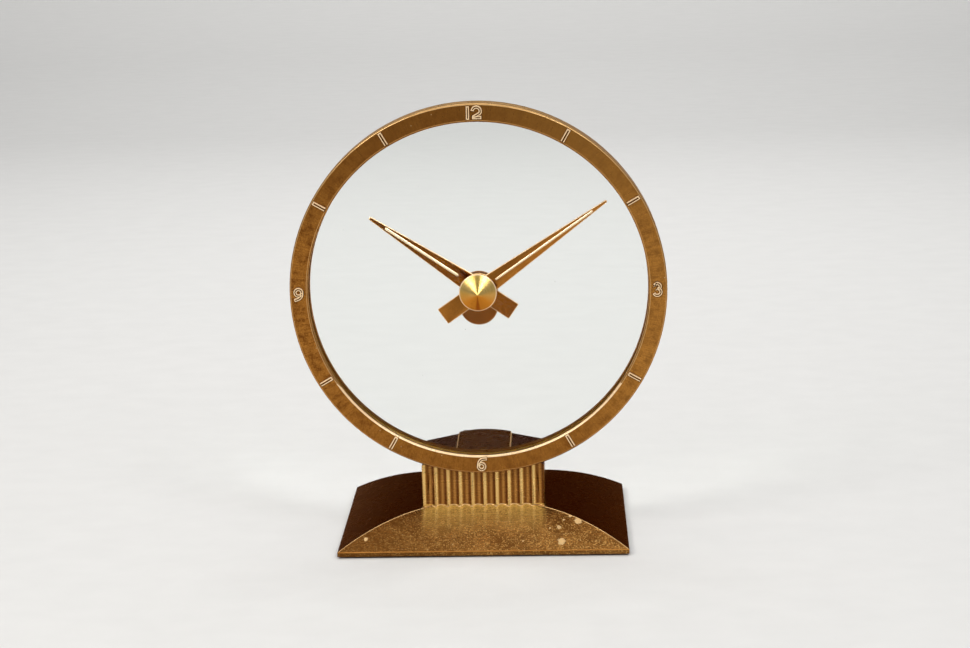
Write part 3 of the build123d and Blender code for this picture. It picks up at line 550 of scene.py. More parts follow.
class Effects:
    """The shared surface effects, each one a node group that is made once."""

    def __init__(self) -> None:
        """Builds every group."""
        self.radial = self.make_radial()
        self.straight = self.make_straight()
        self.rings = self.make_rings()
        self.mottle = self.make_mottle()
        self.specks = self.make_specks()
        self.patch = self.make_patch()
        self.scratches = self.make_scratches()

    @staticmethod
    def group(name: str, inputs: dict[str, str], *outputs: str) -> tuple[Nodes, Sockets]:
        """Starts a node group.

        Args:
            name: the group's name.
            inputs: each input's name and socket type.
            outputs: the names of its outputs, which are all single values.

        Returns:
            The group's node helper, and the sockets that bring its inputs.
        """
        tree = bpy.data.node_groups.new(name, "ShaderNodeTree")
        for label, kind in inputs.items():
            tree.interface.new_socket(name=label, in_out="INPUT", socket_type=kind)
        for label in outputs:
            tree.interface.new_socket(name=label, in_out="OUTPUT", socket_type=FLOAT)
        n = Nodes(tree)
        return n, n.add("NodeGroupInput").outputs

    @staticmethod
    def outwards(n: Nodes) -> Socket:
        """The way from the dial's axis to the shaded point, in metres."""
        off = n.vector("SUBTRACT", n.here(), (0, 0, DIAL_HEIGHT * MM))
        return n.vector("MULTIPLY", off, (1, 0, 1))

    def make_radial(self) -> bpy.types.NodeTree:
        """Streaks that run outwards from the dial's middle.

        Returns:
            The finished group.
        """
        n, given = self.group("radial_streaks", {"Fineness": FLOAT, "Reach": FLOAT}, "Mask")
        flat = self.outwards(n)
        fine = n.add("ShaderNodeVectorMath", {0: n.vector("NORMALIZE", flat), "Scale": given["Fineness"]},
                     operation="SCALE").outputs[0]
        reach = n.times(n.vector("LENGTH", flat, output=1), given["Reach"])
        depth = n.add("ShaderNodeCombineXYZ", {1: reach}).outputs[0]
        noise = n.noise(n.vector("ADD", fine, depth), detail=5.0, roughness=0.72)
        return n.close(n.span(noise, *STREAK_SPAN))

    def make_straight(self) -> bpy.types.NodeTree:
        """Streaks along one direction, given by how fast they change along x, y and z.

        Returns:
            The finished group.
        """
        n, given = self.group("straight_streaks", {"Pace": VECTOR}, "Mask")
        where = n.vector("MULTIPLY", n.here(), given["Pace"])
        return n.close(n.span(n.noise(where, detail=5.0, roughness=0.7), *STREAK_SPAN))

    def make_rings(self) -> bpy.types.NodeTree:
        """Fine turning marks round the dial's middle.

        Returns:
            The finished group.
        """
        n, given = self.group("turning_marks", {"Spacing": FLOAT}, "Mask")
        flat = self.outwards(n)
        steps = n.math("DIVIDE", n.vector("LENGTH", flat, output=1), given["Spacing"])
        x, _, z = n.add("ShaderNodeSeparateXYZ", {0: n.vector("NORMALIZE", flat)}).outputs
        where = n.add("ShaderNodeCombineXYZ", {0: steps, 1: x, 2: z}).outputs[0]
        return n.close(n.span(n.noise(where, detail=3.0, roughness=0.6), *NOISE_SPAN))

    def make_mottle(self) -> bpy.types.NodeTree:
        """Soft blotches with finer ones inside them, and a pebbled grain.

        Returns:
            The finished group.
        """
        n, given = self.group("mottle", {"Size": FLOAT, "Grain": FLOAT}, "Blotch", "Pebble")
        here = n.here()
        soft = n.noise(here, n.math("DIVIDE", 1.0, given["Size"]), 4.0, 0.62)
        hard = n.noise(here, n.math("DIVIDE", 1.0, given["Grain"]))
        return n.close(n.span(soft, 0.32, 0.68), n.span(hard, *NOISE_SPAN))

    def make_specks(self) -> bpy.types.NodeTree:
        """Small scattered dots, some cells of a grid of points having one.

        Returns:
            The finished group.
        """
        n, given = self.group("specks", {"Spacing": FLOAT, "Width": FLOAT, "Share": FLOAT}, "Mask")
        here = n.here()
        pace = n.math("DIVIDE", 1.0, given["Spacing"])
        cells = n.add("ShaderNodeTexVoronoi", {"Vector": here, "Scale": pace}).outputs
        shade = n.add("ShaderNodeSeparateColor", {0: cells["Color"]}).outputs[0]
        picked = n.math("LESS_THAN", shade, given["Share"])
        wobble = n.span(n.noise(here, 2600.0), *NOISE_SPAN, 0.5, 1.3)
        near = n.math("LESS_THAN", cells["Distance"], n.times(given["Width"], wobble))
        return n.close(n.times(near, picked))

    def make_scratches(self) -> bpy.types.NodeTree:
        """Sparse thin lines, slanting over the surface.

        Returns:
            The finished group.
        """
        n, given = self.group("scratches", {"Sparseness": FLOAT}, "Mask")
        here = n.here()
        slant = n.add("ShaderNodeMapping", {0: here, 2: SCRATCH_SLANT, 3: SCRATCH_PACE}).outputs[0]
        line = n.span(n.noise(slant, detail=1.0), 0.70, 0.76)
        patchy = n.math("GREATER_THAN", n.noise(here, 70.0, 1.0), given["Sparseness"])
        return n.close(n.times(line, patchy))

    def make_patch(self) -> bpy.types.NodeTree:
        """One worn spot with a ragged edge, at a place on the object.

        Returns:
            The finished group.
        """
        n, given = self.group("worn_spot", {"Place": VECTOR, "Reach": FLOAT}, "Mask", "Rim")
        here = n.here()
        ragged = n.span(n.noise(here, 900.0, 3.0), 0.25, 0.75, 0.55, 1.35)
        far = n.vector("DISTANCE", here, given["Place"], output=1)
        share = n.math("DIVIDE", far, n.times(given["Reach"], ragged))
        rim = n.times(n.span(share, 0.6, 0.95), n.span(share, 1.0, 1.3, 1.0, 0.0))
        return n.close(n.span(share, 0.85, 1.1, 1.0, 0.0), rim)


def start_material(name: str) -> tuple[bpy.types.Material, Nodes, bpy.types.Node]:
    """Starts a material with nothing but its shader.

    Args:
        name: the material's name.

    Returns:
        The material, its node helper and its shader node.
    """
    material = bpy.data.materials.new(name)
    material.use_nodes = True
    material.node_tree.nodes.clear()
    n = Nodes(material.node_tree)
    shader = n.add("ShaderNodeBsdfPrincipled")
    n.add("ShaderNodeOutputMaterial", {0: shader.outputs[0]})
    return material, n, shader


class Grain(Enum):
    """How a plated surface was brushed."""

    RADIAL = "out from the dial's middle"
    LEVEL = "from side to side"
    TURNED = "round the dial's middle"


class Follows(Enum):
    """What a second colour follows."""

    FACING = "Normal"
    PLACE = "Object"


@dataclass(frozen=True)
class PaintedShading:
    """Painted light and shade: a second colour where a surface faces one way or lies to one side.

    It paints highlights, shade and reflections into the colour, where light falls on a surface or misses it.
    The axis is a direction, and the second colour comes in between low and high along it: in millimetres by
    place, or as a cosine by facing.
    """

    axis: Spot
    low: float
    high: float
    colour: Colour
    share: float = 1.0
    follows: Follows = Follows.FACING
    # How much duller the metal turns where the painted light lies, so that the lamps light it more.
    dull: float = 0.0

    def over(self, n: Nodes, colour: Socket) -> tuple[Socket, Socket]:
        """Lays the second colour over the first one.

        Args:
            n: the material's node helper.
            colour: the first colour.

        Returns:
            The mixed colour, and the share of the second one.
        """
        by_place = self.follows is Follows.PLACE
        source = n.add("ShaderNodeTexCoord" if by_place else "ShaderNodeNewGeometry")
        lean = n.vector("DOT_PRODUCT", source.outputs[self.follows.value], self.axis, output=1)
        unit = MM if by_place else 1.0
        share = n.times(n.span(lean, self.low * unit, self.high * unit), self.share)
        return n.blend(share, colour, self.colour), share


@dataclass(frozen=True)
class PaintedFluteLight:
    """Painted highlights on the column's lands, painted shade in its flutes, and a painted reflection below.
    """

    pitch: float = 6.32
    foot: float = 20.35
    hollow_back: float = -28.4
    seam: float = 0.2
    half: float = 33.0
    side: float = 3.0
    # How far below the column's foot the painted reflection reaches, and how fast it fades.
    reflection_reach: float = 12.0
    fading: float = 1.6
    # The painted reflection's colour, and how much of it is laid over the stripes.
    painted_glow: Colour = (1.0, 0.62, 0.14)
    painted_glow_share: float = 0.66
    # How much of the column the painted stripes cover, and how much its metal turns duller.
    column_share: float = 0.92
    column_lit: float = 0.5
    # The painted stripes across one flute: highlights by the land, shade in the hollow.
    stops: tuple[tuple[float, Colour], ...] = (
        (0.0, (0.40, 0.18, 0.03)), (0.04, (0.95, 0.60, 0.20)), (0.14, (1.0, 0.68, 0.25)),
        (0.22, (0.90, 0.55, 0.17)), (0.30, (0.28, 0.11, 0.014)), (0.42, (0.14, 0.042, 0.005)),
        (0.52, (0.24, 0.09, 0.014)), (0.65, (0.46, 0.21, 0.045)), (0.76, (0.28, 0.11, 0.02)),
        (0.86, (0.11, 0.03, 0.003)), (0.95, (0.15, 0.042, 0.004)), (1.0, (0.36, 0.16, 0.025)))

    def over(self, n: Nodes, colour: Socket) -> tuple[Socket, Socket]:
        """Lays the painted highlights, shade and reflection over a colour.

        Args:
            n: the material's node helper.
            colour: the plating's own colour.

        Returns:
            The mixed colour, and the share of the painted light, where the metal is made duller.
        """
        here = n.here()
        across, depth, height = n.add("ShaderNodeSeparateXYZ", {0: here}).outputs
        ramp = n.add("ShaderNodeValToRGB", {0: n.math("FRACT", n.math("DIVIDE", across, self.pitch * MM))})
        elements = ramp.color_ramp.elements
        while len(elements) < len(self.stops):
            elements.new(0.5)
        for element, (place, shade) in zip(elements, self.stops):
            element.position, element.color = place, (*shade, 1.0)
        front = n.span(depth, (self.hollow_back - self.seam) * MM, self.hollow_back * MM, 1.0, 0.0)
        column = n.times(front, n.span(height, self.foot * MM, (self.foot + self.seam) * MM))
        fade = n.math("POWER", n.span(height, (self.foot - self.reflection_reach) * MM, self.foot * MM), self.fading)
        inside = n.span(n.math("ABSOLUTE", across), (self.half - self.side) * MM, self.half * MM, 1.0, 0.0)
        grains = n.span(n.noise(here, 1500.0), 0.40, 0.56, 0.65, 1.0)
        # The painted reflection of the flutes on the foot's front.
        facet = n.times(n.times(n.times(fade, grains), inside), n.math("SUBTRACT", front, column))
        colour = n.blend(facet, colour, n.blend(self.painted_glow_share, ramp.outputs[0], self.painted_glow))
        lit = n.math("MAXIMUM", facet, n.times(column, self.column_lit))
        return n.blend(n.times(column, self.column_share), colour, ramp.outputs[0]), lit


@dataclass(frozen=True)
class Plating:
    """Gold plating: brushed, a little mottled, darker in the hollows of its grain, with worn spots and painted
    light and shade.
    """

    name: str
    grain: Grain
    body: Colour = (0.44, 0.178, 0.032)
    deep: Colour = (0.185, 0.060, 0.009)
    pale: Colour = (0.80, 0.56, 0.27)
    smooth: float = 0.22
    rough: float = 0.42
    streaks: float = 0.55
    stains: float = 0.5
    pebbles: float = 0.25
    specks: float = 0.55
    relief: float = 0.012
    blotch_size: float = 9.0
    graze: Colour = (0.85, 0.48, 0.22)
    metal: float = 1.0
    pebble_size: float = 0.42
    scratches: float = 0.0
    glitter: float = 0.0
    glint: Colour = (0.72, 0.42, 0.13)
    # Painted light and shade by facing or place.
    painted_shadings: tuple[PaintedShading, ...] = ()
    # The column's painted highlights, shade and reflection, and how much duller the metal turns there.
    painted_flute_light: PaintedFluteLight | None = None
    flute_dull: float = 0.85
    spots: tuple[tuple[float, float, float, float], ...] = ()
    spot_pale: float = 0.85
    spot_rim: float = 0.6
    spot_rough: float = 0.6
    streak_height: float = 0.6
    pebble_height: float = 0.8
    bump: float = 0.55

    def streak(self, n: Nodes, effects: Effects) -> Socket:
        """The brush marks.

        Args:
            n: the material's node helper.
            effects: the shared surface effects.

        Returns:
            How high each mark lies.
        """
        if self.grain is Grain.RADIAL:
            return n.effect(effects.radial, *RAYS)[0]
        if self.grain is Grain.TURNED:
            return n.effect(effects.rings, TURNING_SPACING * MM)[0]
        return n.effect(effects.straight, LEVEL_PACE)[0]

    def build(self, effects: Effects) -> bpy.types.Material:
        """Makes the material.

        Args:
            effects: the shared surface effects.

        Returns:
            The finished material.
        """
        material, n, shader = start_material(self.name)
        streak = self.streak(n, effects)
        blotch, pebble = n.effect(effects.mottle, self.blotch_size * MM, self.pebble_size * MM)
        drift = n.times(n.math("SUBTRACT", 1.0, streak), self.streaks)
        stain = n.times(n.span(blotch, 0.35, 1.0), self.stains)
        grit = n.math("ADD", stain, n.times(pebble, self.pebbles))
        dark = n.math("MINIMUM", n.math("ADD", drift, grit), 1.0)
        colour = n.blend(dark, self.body, self.deep)
        if self.glitter:
            glints = n.effect(effects.specks, *GLINTS)[0]
            colour = n.blend(n.times(glints, self.glitter), colour, self.glint)
        metal: object = self.metal
        # Lay the painted light and shade, and the column's painted light, which also dull the metal.
        for painted_shading in self.painted_shadings:
            colour, share = painted_shading.over(n, colour)
            if painted_shading.dull:
                metal = n.math("SUBTRACT", metal, n.times(share, painted_shading.dull))
        if self.painted_flute_light:
            colour, painted_glow = self.painted_flute_light.over(n, colour)
            metal = n.math("SUBTRACT", metal, n.times(painted_glow, self.flute_dull))
        specks = n.effect(effects.specks, *PALE_SPECKS)[0]
        colour = n.blend(n.times(specks, self.specks), colour, self.pale)
        if self.scratches:
            lines = n.effect(effects.scratches, SCRATCH_SPARSENESS)[0]
            colour = n.blend(n.times(lines, self.scratches), colour, self.pale)
        evenness = n.math("ADD", n.times(streak, 0.5), n.times(blotch, 0.5))
        rough = n.span(evenness, 0.0, 1.0, self.smooth, self.rough)
        for x, y, z, reach in self.spots:
            worn, rim = n.effect(effects.patch, (x * MM, y * MM, z * MM), reach * MM)
            colour = n.blend(n.times(rim, self.spot_rim), colour, self.deep)
            colour = n.blend(n.times(worn, self.spot_pale), colour, self.pale)
            rough = n.math("MAXIMUM", rough, n.times(worn, self.spot_rough))
        height = n.math("ADD", n.times(streak, self.streak_height), n.times(pebble, self.pebble_height))
        n.fill(shader, {"Metallic": metal, "Specular Tint": self.graze, "Base Color": colour,
                        "Roughness": rough, "Normal": n.bump(height, self.bump, self.relief)})
        return material


@dataclass(frozen=True)
class Plain:
    """A finish of one kind: machined metal, sheet, paint, moulded plastic, fibre or rubber."""

    name: str
    colour: Colour
    shade: Colour
    metal: float = 0.0
    smooth: float = 0.35
    rough: float = 0.55
    grain: float = 0.5
    relief: float = 0.01
    brushed: Spot | None = None
    blotch_size: float = 6.0
    blotches: float = 0.7
    brushing: float = 0.55
    bump: float = 0.5

    def build(self, effects: Effects) -> bpy.types.Material:
        """Makes the material.

        Args:
            effects: the shared surface effects.

        Returns:
            The finished material.
        """
        material, n, shader = start_material(self.name)
        blotch, pebble = n.effect(effects.mottle, self.blotch_size * MM, self.grain * MM)
        share, height = n.times(blotch, self.blotches), pebble
        if self.brushed:
            streak = n.effect(effects.straight, self.brushed)[0]
            share = n.times(n.math("ADD", share, streak), self.brushing)
            height = n.math("ADD", height, streak)
        n.fill(shader, {"Metallic": self.metal, "Base Color": n.blend(share, self.colour, self.shade),
                        "Roughness": n.span(pebble, 0.0, 1.0, self.smooth, self.rough),
                        "Normal": n.bump(height, self.bump, self.relief)})
        return material


@dataclass(frozen=True)
class ClearGlass:
    """The dial's plate glass, with a little dust on it."""

    name: str = "dial_glass"
    tint: Colour = (0.97, 0.99, 0.98)
    dust: Colour = (0.60, 0.58, 0.54)
    bending: float = 1.18
    haze: float = 0.004
    dust_rough: float = 0.5

    def build(self, effects: Effects) -> bpy.types.Material:
        """Makes the material.

        Args:
            effects: the shared surface effects.

        Returns:
            The finished material.
        """
        material, n, shader = start_material(self.name)
        specks = n.effect(effects.specks, *DUST_SPECKS)[0]
        blotch = n.effect(effects.mottle, 30 * MM, 1.5 * MM)[0]
        haze = n.span(blotch, 0.0, 1.0, 0.0, self.haze)
        n.fill(n.tree.nodes["Material Output"], {0: self.shadow(n, shader)})
        n.fill(shader, {"Transmission Weight": 1.0, "IOR": self.bending,
                        "Base Color": n.blend(specks, self.tint, self.dust),
                        "Roughness": n.math("ADD", haze, n.times(specks, self.dust_rough))})
        return material

    def shadow(self, n: Nodes, shader: bpy.types.Node) -> Socket:
        """Lets lamp light pass the glass, so that it lights what is behind it.

        Args:
            n: the material's node helper.
            shader: the glass shader.

        Returns:
            The shader's output, clear to shadow rays.
        """
        clear = n.add("ShaderNodeBsdfTransparent", {0: self.tint}).outputs[0]
        ray = n.add("ShaderNodeLightPath").outputs["Is Shadow Ray"]
        return n.add("ShaderNodeMixShader", {0: ray, 1: shader.outputs[0], 2: clear}).outputs[0]


WEAR_SPOTS = ((48.7, -38.6, 13.6, 1.9), (38.9, -41.7, 11.6, 1.15), (41.3, -37.8, 14.2, 0.6),
              (34.2, -42.1, 11.3, 0.55), (40.1, -49.1, 6.6, 2.1), (-60.2, -47.0, 8.0, 1.1),
              (20.4, -48.8, 6.8, 0.5), (44.6, -35.9, 15.5, 0.9))

PLATINGS = (
    # The ring's plating, with painted shade at its top and bottom, a painted highlight on its right, and
    # painted light, with duller metal, on faces turned up.
    Plating("ring_plating", Grain.RADIAL, (0.57, 0.240, 0.042), pebbles=0.45, pebble_size=0.8,
            blotch_size=5.0, painted_shadings=(
                PaintedShading((0, 0, 1), 160, 212, (0.22, 0.086, 0.016), 0.75, Follows.PLACE),
                PaintedShading((0, 0, -1), -95, -50, (0.24, 0.092, 0.016), 0.55, Follows.PLACE),
                PaintedShading((1, 0, 0.3), 60, 115, (0.66, 0.33, 0.075), 0.22, Follows.PLACE),
                PaintedShading((0, 0, 1), 0.35, 0.80, (0.50, 0.29, 0.10), dull=0.3))),
    # The casting's plating, with painted shade on its lower left and on faces turned back or up, such as the
    # side slopes, and the column's painted light.
    Plating("base_plating", Grain.LEVEL, (0.41, 0.190, 0.046), (0.14, 0.056, 0.012), streaks=0.15,
            pebbles=1.0, pebble_size=0.7, relief=0.03, smooth=0.2, rough=0.36, scratches=0.12,
            glitter=0.65, graze=(0.59, 0.38, 0.27), painted_flute_light=PaintedFluteLight(), spots=WEAR_SPOTS, painted_shadings=(
                PaintedShading((-1, 0, -1), -5, 50, (0.11, 0.038, 0.006), 0.6, Follows.PLACE),
                PaintedShading((0, 1, 0.45), -0.2, 0.03, (0.056, 0.018, 0.006), 0.93))),
    # Painted shade on the raised strokes' grooves, walls and ends, and the painted shadow round them.
    Plating("raised_painted_shade", Grain.RADIAL, (0.20, 0.075, 0.012), (0.10, 0.033, 0.005)),
    # A painted highlight on edges and lands where light catches them.
    Plating("painted_highlight_edge", Grain.RADIAL, (1.0, 0.74, 0.45), (0.82, 0.54, 0.28), metal=0.35,
            rough=0.36, streaks=0.3, pebbles=0.1, relief=0.004, graze=(1.0, 0.9, 0.7)),
    # A softer painted highlight on eased edges, with painted shade where they face down.
    Plating("soft_painted_highlight", Grain.RADIAL, (0.74, 0.47, 0.21), (0.50, 0.28, 0.10), metal=0.6,
            smooth=0.25, rough=0.4, streaks=0.3, pebbles=0.2, relief=0.004, graze=(0.9, 0.6, 0.3),
            painted_shadings=(PaintedShading((0, 0, -1), -0.35, 0.3, (0.44, 0.19, 0.04), 0.85),)),
    Plating("lip_edge", Grain.LEVEL, (0.54, 0.24, 0.055), (0.36, 0.14, 0.025), metal=0.8,
            smooth=0.3, rough=0.45, streaks=0.4, pebbles=0.4, relief=0.004),
    # Painted shade on the neck's roof.
    Plating("roof_painted_shade", Grain.LEVEL, (0.23, 0.098, 0.022), (0.13, 0.052, 0.011), streaks=0.15,
            pebbles=0.8, pebble_size=0.7, relief=0.03, smooth=0.2, rough=0.36, graze=(0.56, 0.34, 0.16)),
    Plating("shaded_plating", Grain.RADIAL, (0.26, 0.115, 0.028), (0.14, 0.055, 0.012)),
    Plating("hand_plating", Grain.RADIAL, (0.48, 0.19, 0.032), (0.30, 0.10, 0.014), rough=0.36,
            streaks=0.35, pebbles=0.2),
    # A painted highlight along the hands' ribs.
    Plating("rib_painted_highlight", Grain.RADIAL, (1.0, 0.80, 0.55), (0.85, 0.60, 0.34), metal=0.5,
            streaks=0.2, pebbles=0.1, smooth=0.14, rough=0.26, relief=0.003, graze=(1.0, 0.9, 0.7)),
    Plating("hour_plating", Grain.RADIAL, (0.29, 0.085, 0.003), (0.18, 0.046, 0.002), rough=0.36,
            streaks=0.35, pebbles=0.2, graze=(0.5, 0.3, 0.1)),
    # The cone's turned plating, with a painted reflection on faces turned down, a painted dark spoke at six
    # and a painted olive line at twelve, between the lamps' reflections.
    Plating("cone_plating", Grain.TURNED, (0.76, 0.54, 0.19), (0.55, 0.33, 0.07), streaks=0.6,
            pebbles=0.05, smooth=0.24, rough=0.36, relief=0.04, graze=(0.95, 0.85, 0.55), painted_shadings=(
                PaintedShading((0, 0, -1), -0.15, 0.35, (0.62, 0.215, 0.018), 0.95),
                PaintedShading((0, 0, -1), 0.527, 0.537, (0.30, 0.05, 0.004), 0.8),
                PaintedShading((0, 0, 1), 0.525, 0.537, (0.30, 0.20, 0.03), 0.75))),
)
PLAINS = (
    Plain("case_bronze", (0.29, 0.082, 0.005), (0.20, 0.052, 0.0025), 1.0, 0.38, 0.55, 0.4, 0.01),
    Plain("turned_brass", (0.56, 0.38, 0.13), (0.42, 0.26, 0.08), 1.0, 0.22, 0.38, 0.3, 0.006),
    Plain("steel", (0.55, 0.55, 0.56), (0.40, 0.40, 0.41), 1.0, 0.24, 0.40, 0.3, 0.006),
    Plain("spring_steel", (0.40, 0.40, 0.43), (0.26, 0.26, 0.29), 1.0, 0.25, 0.35, 0.3, 0.004),
    Plain("zinc_sheet", (0.60, 0.60, 0.56), (0.46, 0.46, 0.42), 1.0, 0.34, 0.52, 1.2, 0.01,
          (400.0, 400.0, 60.0)),
    Plain("cast_lead", (0.20, 0.20, 0.21), (0.13, 0.13, 0.14), 1.0, 0.5, 0.7, 0.6, 0.04),
    Plain("nylon", (0.78, 0.72, 0.56), (0.68, 0.60, 0.42), 0.0, 0.32, 0.48, 0.6, 0.006),
    Plain("red_fibre", (0.24, 0.05, 0.03), (0.15, 0.03, 0.02), 0.0, 0.6, 0.8, 0.3, 0.02),
    Plain("brown_knob", (0.085, 0.030, 0.010), (0.050, 0.017, 0.006), 0.0, 0.34, 0.46, 0.5, 0.003),
    Plain("black_paint", (0.022, 0.022, 0.023), (0.034, 0.033, 0.032), 0.0, 0.38, 0.55, 0.5, 0.02),
    Plain("rubber", (0.022, 0.021, 0.020), (0.036, 0.034, 0.032), 0.0, 0.62, 0.82, 0.35, 0.03),
)


class Finishes:
    """Every material of the clock, made once and found by name."""

    def __init__(self, effects: Effects) -> None:
        """Builds the materials from the shared effects."""
        self.made = {plan.name: plan.build(effects) for plan in (*PLATINGS, *PLAINS, ClearGlass())}

    def dress(self, made: Thing, names: tuple[str, ...]) -> None:
        """Gives an object its materials in place of any that it has.

        Args:
            made: the object.
            names: the materials' names, in the order of the faces' material numbers.
        """
        marks = [0] * len(made.data.polygons)
        made.data.polygons.foreach_get("material_index", marks)
        made.data.materials.clear()
        for name in names:
            made.data.materials.append(self.made[name])
        made.data.polygons.foreach_set("material_index", [min(mark, len(names) - 1) for mark in marks])

    def paint(self, node: Thing, name: str) -> None:
        """Gives a CAD node one finish throughout.

        Args:
            node: the CAD node's object.
            name: the material's name.
        """
        if not node.material_slots:
            node.data.materials.append(None)
        for slot in node.material_slots:
            slot.link, slot.material = "OBJECT", self.made[name]


@dataclass
class Bench:
    """What every sub-assembly needs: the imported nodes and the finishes."""

    nodes: dict[str, Thing]
    finishes: Finishes

    def fit(self, made: Thing, body: str, slot: str, finish: tuple[str, ...], *nodes: str) -> None:
        """Finishes a piece and fits it to the frame.

        Args:
            made: the piece, in place.
            body: the CAD body that it rides on.
            slot: not used.
            finish: its materials, in order.
            nodes: the CAD nodes that it stands for.
        """
        self.finishes.dress(made, finish)
        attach(made, body)
        if nodes:
            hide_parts(*nodes)
        LOG.info("fitted %s on %s", made.name, body)

    def ease_node(self, node: str, body: str, slot: str, finish: tuple[str, ...], width: float) -> None:
        """Puts a copy with eased edges in place of a CAD node.

        Args:
            node: the CAD node.
            body: its body.
            slot: not used.
            finish: one material, or two where the eased edges have their own.
            width: the width of the eased edges.
        """
        mark = EDGE if len(finish) > 1 else -1
        self.fit(eased_node(self.nodes[node], f"{node}_finished", width, mark), body, slot, finish, node)

    def paint(self, **finishes: str) -> None:
        """Gives each named CAD node, which stays as it is, one finish."""
        for node, finish in finishes.items():
            self.finishes.paint(self.nodes[node], finish)


@dataclass
class SlottedScrew:
    """A countersunk screw that points forwards, seen from the back."""

    middle: Flat
    shank: float = 0.75
    head: float = 1.5
    front: float = -31.0
    back: float = -22.5
    slot: float = 0.42
    depth: float = 0.35
    half_steps: int = 12

    def build(self, turn: float) -> Thing:
        """Builds the screw.

        Args:
            turn: the slot's angle in degrees.

        Returns:
            The screw's object.
        """
        half = self.slot / 2
        edge = math.asin(half / self.head)
        rim = [side + edge + (math.pi - 2 * edge) * step / self.half_steps
               for side in (0.0, math.pi) for step in range(self.half_steps + 1)]
        around = len(rim)
        points = [(radius * math.cos(a), y, radius * math.sin(a))
                  for radius, y in ((self.shank, self.front), (self.shank, self.back - self.head + self.shank),
                                    (self.head, self.back)) for a in rim]
        floor, reach = len(points), self.head * math.cos(edge)
        points += [(x, self.back - self.depth, z)
                   for x, z in ((reach, half), (-reach, half), (-reach, -half), (reach, -half))]
        faces = [*band(0, around, around), *band(around, 2 * around, around), tuple(range(around))]
        a = 2 * around
        b, c, d = a + self.half_steps, a + around // 2, a + around - 1
        faces += [tuple(range(a, b + 1)), tuple(range(c, d + 1)), (a, b, floor + 1, floor),
                  (c, d, floor + 3, floor + 2), (floor, floor + 1, floor + 2, floor + 3),
                  (b, c, floor + 2, floor + 1), (d, a, floor, floor + 3)]
        spin = Matrix.Rotation(math.radians(turn), 4, "Y")
        spots = (spin @ Vector(point) for point in points)
        return piece("screw", [(self.middle[0] + x, y, self.middle[1] + z) for x, y, z in spots], faces)


